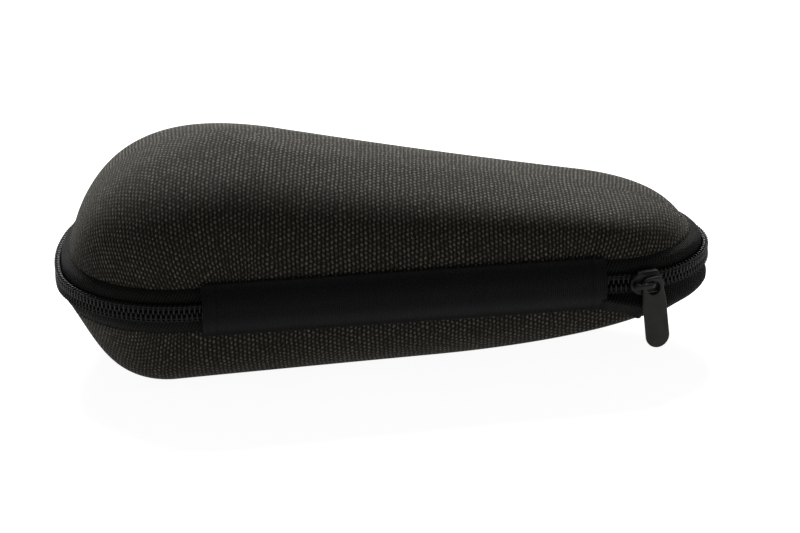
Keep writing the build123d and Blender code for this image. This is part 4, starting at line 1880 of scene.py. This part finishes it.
@dataclass
class ZipPull:
    """The slider casting with its bail, and the pull tab that hangs on it."""

    finishes: Finishes
    angle: float = -71.0
    length: float = 9.5
    plate: float = 1.0
    plate_edge: float = 0.34
    back_edge: float = 0.3
    flange: float = 0.7
    flange_reach: float = 1.6
    clearance: float = 0.25
    back_clearance: float = 0.7
    back_half_width: float = 2.6
    nose_half_width: float = 1.5
    chain_depth: float = 2.8
    web_half_length: float = 1.05
    web_half_width: float = 0.25
    flange_spread: float = 0.78
    bail_width: float = 1.5
    bail_thickness: float = 1.1
    bail_span: float = 5.2
    bail_tail: float = 1.6
    tab_length: float = 22.2
    tab_width: float = 7.3
    tab_shoulder: float = 4.3
    eye_radius: float = 2.1
    eye_ring: float = 3.2
    tab_thickness: float = 1.25
    tab_edge: float = 0.42
    eye_edge: float = 0.26
    tab_lean: float = 5.5
    tab_clearance: float = 0.15

    def placing(self) -> Matrix:
        """Work out the axes at the slider: x along the chain, y up, z outward.

        Returns:
            Where those axes lie in the case's own.
        """
        angle = math.radians(self.angle)
        radius = OUTLINE.handle_end_radius
        out = Vector((math.cos(angle), math.sin(angle), 0))
        along = Vector((-math.sin(angle), math.cos(angle), 0))
        axes = Matrix((along, Vector((0, 0, 1)), out)).transposed().to_4x4()
        return Matrix.Translation(out * radius + Vector((HANDLE_ARC_X, 0, 0))) @ axes

    def build(self) -> None:
        """Build and dress the slider and the tab."""
        self.build_slider()
        self.build_tab()

    def build_slider(self) -> None:
        """The casting: two waisted plates, curled flanges, web and arched bail."""
        half = self.length / 2
        gap = CHAIN_HALF_WIDTH + self.clearance
        wide, narrow = gap + self.flange, gap + self.flange - 0.5
        top = self.clearance + self.plate
        draft = MeshDraft()
        plan = [
            (half, -narrow + 0.9, 0.8),
            (half, narrow - 0.9, 0.8),
            (half - 1.4, narrow, 1.2),
            (0.4, narrow - 0.45, 3.0),
            (-half + 2.5, wide, 1.4),
            (-half, self.nose_half_width, 0.9),
            (-half, -self.nose_half_width, 0.9),
            (-half + 2.5, -wide, 1.4),
            (0.4, -narrow + 0.45, 3.0),
            (half - 1.4, -narrow, 1.2),
        ]
        add_plate(draft, star_outline(plan, 120), self.clearance, top, self.plate_edge)
        for side in (1, -1):
            self.add_flange(draft, side, gap, half)
        back = -self.chain_depth - self.back_clearance
        reach = half - self.flange
        rear = oblong(0, reach, self.back_half_width, 0.9)
        add_plate(draft, star_outline(rear, 80), back - self.plate, back, self.back_edge)
        web = oblong(1.1 - reach, self.web_half_length, self.web_half_width, 0.2)
        add_plate(draft, star_outline(web, 24), back - 0.1, self.clearance + 0.1, 0.05)
        self.add_bail(draft, top)
        piece = draft.finish("slider_casting", self.placing())
        dress(piece, self.finishes.slider, "slider", "slider_body")

    def add_flange(self, draft: MeshDraft, side: int, gap: float, half: float) -> None:
        """Add one flange, curled from the upper plate over the chain's edge.

        Args:
            draft: Where the faces go.
            side: 1 for the upper flange, -1 for the lower.
            gap: How far it lies from the chain's middle.
            half: Half of the slider's length.
        """
        middle = gap + self.flange / 2 - 0.08
        corners = np.array(
            [
                (middle - 0.75, self.clearance + self.plate / 2),
                (middle, self.clearance + self.plate / 2),
                (middle, -self.flange_reach),
            ]
        )
        section = strip_section(rounded_line(corners, 0.7), self.flange)
        spread = np.linspace(-1, 1, 25)
        places = 1 - self.flange_spread + self.flange_spread * spread
        pull = 0.22 * (places + 1) / 2
        shrink = np.where(np.abs(spread) > 0.9, 1 - (np.abs(spread) - 0.9) * 4, 1)
        rings = []
        for place, inward, scale in zip(places, pull, shrink):
            ring = section.copy()
            ring[:, 1] = (ring[:, 1] - self.clearance) * scale + self.clearance
            x = np.full(len(ring), place * (half - self.flange))
            rings.append(np.column_stack([x, side * (ring[:, 0] - inward), ring[:, 1]]))
        points = np.stack(rings)
        columns = points.shape[1]
        uv = np.stack(np.meshgrid(np.arange(columns + 1.0), places * half), axis=-1)
        draft.add_bar(points, uv)

    def add_bail(self, draft: MeshDraft, top: float) -> None:
        """Add the arched bail that the tab's eye goes round.

        Args:
            draft: Where the faces go.
            top: Height of the plate that it stands on.
        """
        under = self.tab_thickness + 2 * self.clearance
        crest = top + under + self.bail_thickness / 2
        nose, tail = self.bail_tail - self.bail_span, self.bail_tail
        corners = np.array(
            [(nose - 0.3, top - 0.3), (nose, crest), (tail, crest), (tail + 0.1, top - 0.3)]
        )
        line = rounded_line(corners, 0.42, 6)
        path = np.column_stack([line[:, 0], np.zeros(len(line)), line[:, 1]])
        out = np.cross(unit(np.gradient(path, axis=0)), (0.0, 1.0, 0.0))
        turn = np.linspace(0, math.tau, 20, endpoint=False)
        across = flat_topped(np.cos(turn), 0.55) * self.bail_width / 2
        deep = flat_topped(np.sin(turn), 0.7) * self.bail_thickness / 2
        points = path[:, None] + out[:, None] * deep[:, None]
        points[..., 1] += across
        run = running_length(path, 0)
        uv = np.stack(np.meshgrid(np.arange(21) * 0.25, run), axis=-1)
        draft.add_bar(points, uv)

    def tab_outline(self, count: int) -> np.ndarray:
        """Work out the tab's outline about its eye, counterclockwise.

        Args:
            count: Number of points.

        Returns:
            Points along the outline.
        """
        end = self.tab_width / 2
        foot = self.eye_ring - self.tab_length
        corners = [
            (self.eye_ring, self.eye_ring, self.eye_ring),
            (-self.eye_ring, self.eye_ring, self.eye_ring),
            (-self.eye_ring, -0.6, 4.0),
            (-end, -self.tab_shoulder, 6.0),
            (-end, foot, end),
            (end, foot, end),
            (end, -self.tab_shoulder, 6.0),
            (self.eye_ring, -0.6, 4.0),
        ]
        return star_outline(corners, count)

    def build_tab(self) -> None:
        """The flat tab with its softened edges and round eye."""
        count = 160
        outer = self.tab_outline(count)
        bearing = np.arctan2(outer[:, 1], outer[:, 0])
        outward = np.stack([np.cos(bearing), np.sin(bearing)], axis=-1)
        low = 2 * self.clearance + self.plate
        high = low + self.tab_thickness
        rim = bevel_profile(low, high, self.tab_edge)
        hole = bevel_profile(low, high, self.eye_edge)[::-1]
        rows = [
            np.column_stack([offset_ring(outer, inset), np.full(count, height)])
            for inset, height in rim
        ]
        for inset, height in hole:
            eye = outward * (self.eye_radius + inset)
            rows.append(np.column_stack([eye, np.full(count, height)]))
        points = np.stack(rows)
        run = running_length(np.concatenate([outer, outer[:1]]), 0)
        climb = np.arange(len(rows) + 1.0)
        uv = np.stack(np.meshgrid(run, climb), axis=-1)
        draft = MeshDraft()
        draft.add_grid(points, uv, wrap_rows=True)
        hang = self.eye_radius - self.bail_width / 2 - self.tab_clearance
        lean = Matrix.Rotation(math.radians(self.tab_lean), 4, "Z")
        at_bail, below = Vector((self.bail_tail, 0, 0)), Vector((0, -hang, 0))
        local = Matrix.Translation(at_bail) @ lean @ Matrix.Translation(below)
        piece = draft.finish("pull_tab_plate", self.placing() @ local)
        dress(piece, self.finishes.tab, "tab", "pull_tab")


# ---------------------------------------------------------------------- studio


@dataclass
class Studio:
    """Pale floor, soft light from above and the camera.

    The camera's sizes are in millimetres and degrees, the floor's and the lamp's in metres.
    """

    elevation: float = 21.002
    azimuth: float = 0.3
    roll: float = -1.245
    distance: float = 1009.98
    pixels_per_mm: float = 3.336
    target: tuple[float, float, float] = (5.35, 0.0, -4.897)
    frame_width: float = 800.0
    sensor: float = 36.0
    floor_reach: float = 12.0
    floor_drop: float = 0.0002
    paper: tuple[float, float, float, float] = (0.42, 0.42, 0.42, 1.0)
    paper_glow: float = 0.3
    seen_glow: float = 0.64
    world_gloss: float = 0.3
    world_fill: float = 0.1
    lamp_place: tuple[float, float, float] = (-0.12, 1.2, 0.95)
    lamp_size: tuple[float, float] = (0.6, 0.7)
    lamp_power: float = 49.0
    lamp_aim: tuple[float, float, float] = (0.0, 0.0, 0.03)

    def build(self) -> None:
        """Set everything up."""
        self.build_camera()
        self.build_floor()
        self.build_world()
        self.build_lamp()
        bpy.context.scene.view_settings.view_transform = "Standard"

    def build_camera(self) -> None:
        """The camera, level with the case's own tilt in the frame."""
        rise, turn, roll = (math.radians(v) for v in (self.elevation, self.azimuth, self.roll))
        back = Vector(
            (math.sin(turn) * math.cos(rise), -math.cos(turn) * math.cos(rise), math.sin(rise))
        )
        right = Vector((math.cos(turn), math.sin(turn), 0))
        up = back.cross(right)
        across = right * math.cos(roll) + up * math.sin(roll)
        upright = up * math.cos(roll) - right * math.sin(roll)
        place = Vector(self.target) * MM + Vector(ORIGIN) + back * self.distance * MM
        data = bpy.data.cameras.new("studio_camera")
        data.sensor_width = self.sensor
        data.lens = self.pixels_per_mm * self.distance * self.sensor / self.frame_width
        camera = bpy.data.objects.new("studio_camera", data)
        axes = Matrix((across, upright, back)).transposed().to_4x4()
        camera.matrix_world = Matrix.Translation(place) @ axes
        bpy.context.scene.collection.objects.link(camera)
        bpy.context.scene.camera = camera

    def build_floor(self) -> None:
        """A pale floor that keeps the case's shadow."""
        mesh = bpy.data.meshes.new("studio_floor")
        corners = [(x, y, 0) for x, y, _ in oblong(0, self.floor_reach, self.floor_reach, 0)]
        mesh.from_pydata(corners, [], [(3, 0, 1, 2)])
        floor = bpy.data.objects.new("studio_floor", mesh)
        floor.location.z = -self.floor_drop
        bpy.context.scene.collection.objects.link(floor)
        material = bpy.data.materials.new("studio_paper")
        material.use_nodes = True
        tree = material.node_tree
        tree.nodes.clear()
        sketch = NodeSketch(tree)
        rays = sketch.add("ShaderNodeLightPath")
        seen = sketch.math("MAXIMUM", rays.outputs["Is Camera Ray"], rays.outputs["Is Glossy Ray"])
        seen = sketch.math("MAXIMUM", seen, rays.outputs["Is Transmission Ray"])
        paper = sketch.add("ShaderNodeBsdfDiffuse", {"Color": self.paper})
        strength = sketch.math("MULTIPLY_ADD", seen, self.seen_glow, self.paper_glow)
        glow = sketch.add("ShaderNodeEmission", {"Strength": strength})
        both = sketch.add("ShaderNodeAddShader", {0: paper.outputs[0], 1: glow.outputs[0]})
        sketch.add("ShaderNodeOutputMaterial", {"Surface": both.outputs[0]})
        mesh.materials.append(material)

    def build_world(self) -> None:
        """White where it is seen, dim where it lights."""
        world = bpy.data.worlds.new("studio_world")
        world.use_nodes = True
        bpy.context.scene.world = world
        sketch = NodeSketch(world.node_tree)
        rays = sketch.add("ShaderNodeLightPath")
        seen = sketch.math(
            "MAXIMUM", rays.outputs["Is Camera Ray"], rays.outputs["Is Transmission Ray"]
        )
        gloss = sketch.math("MULTIPLY", rays.outputs["Is Glossy Ray"], self.world_gloss)
        strength = sketch.math("MAXIMUM", sketch.math("MAXIMUM", seen, gloss), self.world_fill)
        sketch.feed(world.node_tree.nodes["Background"].inputs["Strength"], strength)
        sketch.feed(world.node_tree.nodes["Background"].inputs["Color"], (1, 1, 1, 1))

    def build_lamp(self) -> None:
        """One soft box, behind and above, aimed at the case."""
        data = bpy.data.lights.new("key_light", "AREA")
        data.shape = "RECTANGLE"
        data.size, data.size_y = self.lamp_size
        data.energy = self.lamp_power
        lamp = bpy.data.objects.new("key_light", data)
        lamp.location = self.lamp_place
        aim = Vector(self.lamp_aim) - Vector(self.lamp_place)
        lamp.rotation_euler = aim.to_track_quat("-Z", "Y").to_euler()
        bpy.context.scene.collection.objects.link(lamp)


def main() -> None:
    """Build the case in order."""
    logging.basicConfig(level=logging.INFO, format="%(message)s")
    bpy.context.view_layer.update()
    finishes = Finishes()
    Studio().build()
    Shell(LID, "lid", finishes).build()
    Shell(BASE, "base", finishes).build()
    UpperZip(LID, "lid", "upper", finishes).build()
    LowerZip(BASE, "base", "lower", finishes).build()
    Hinge(finishes).build()
    ZipPull(finishes).build()


if __name__ == "__main__":
    main()
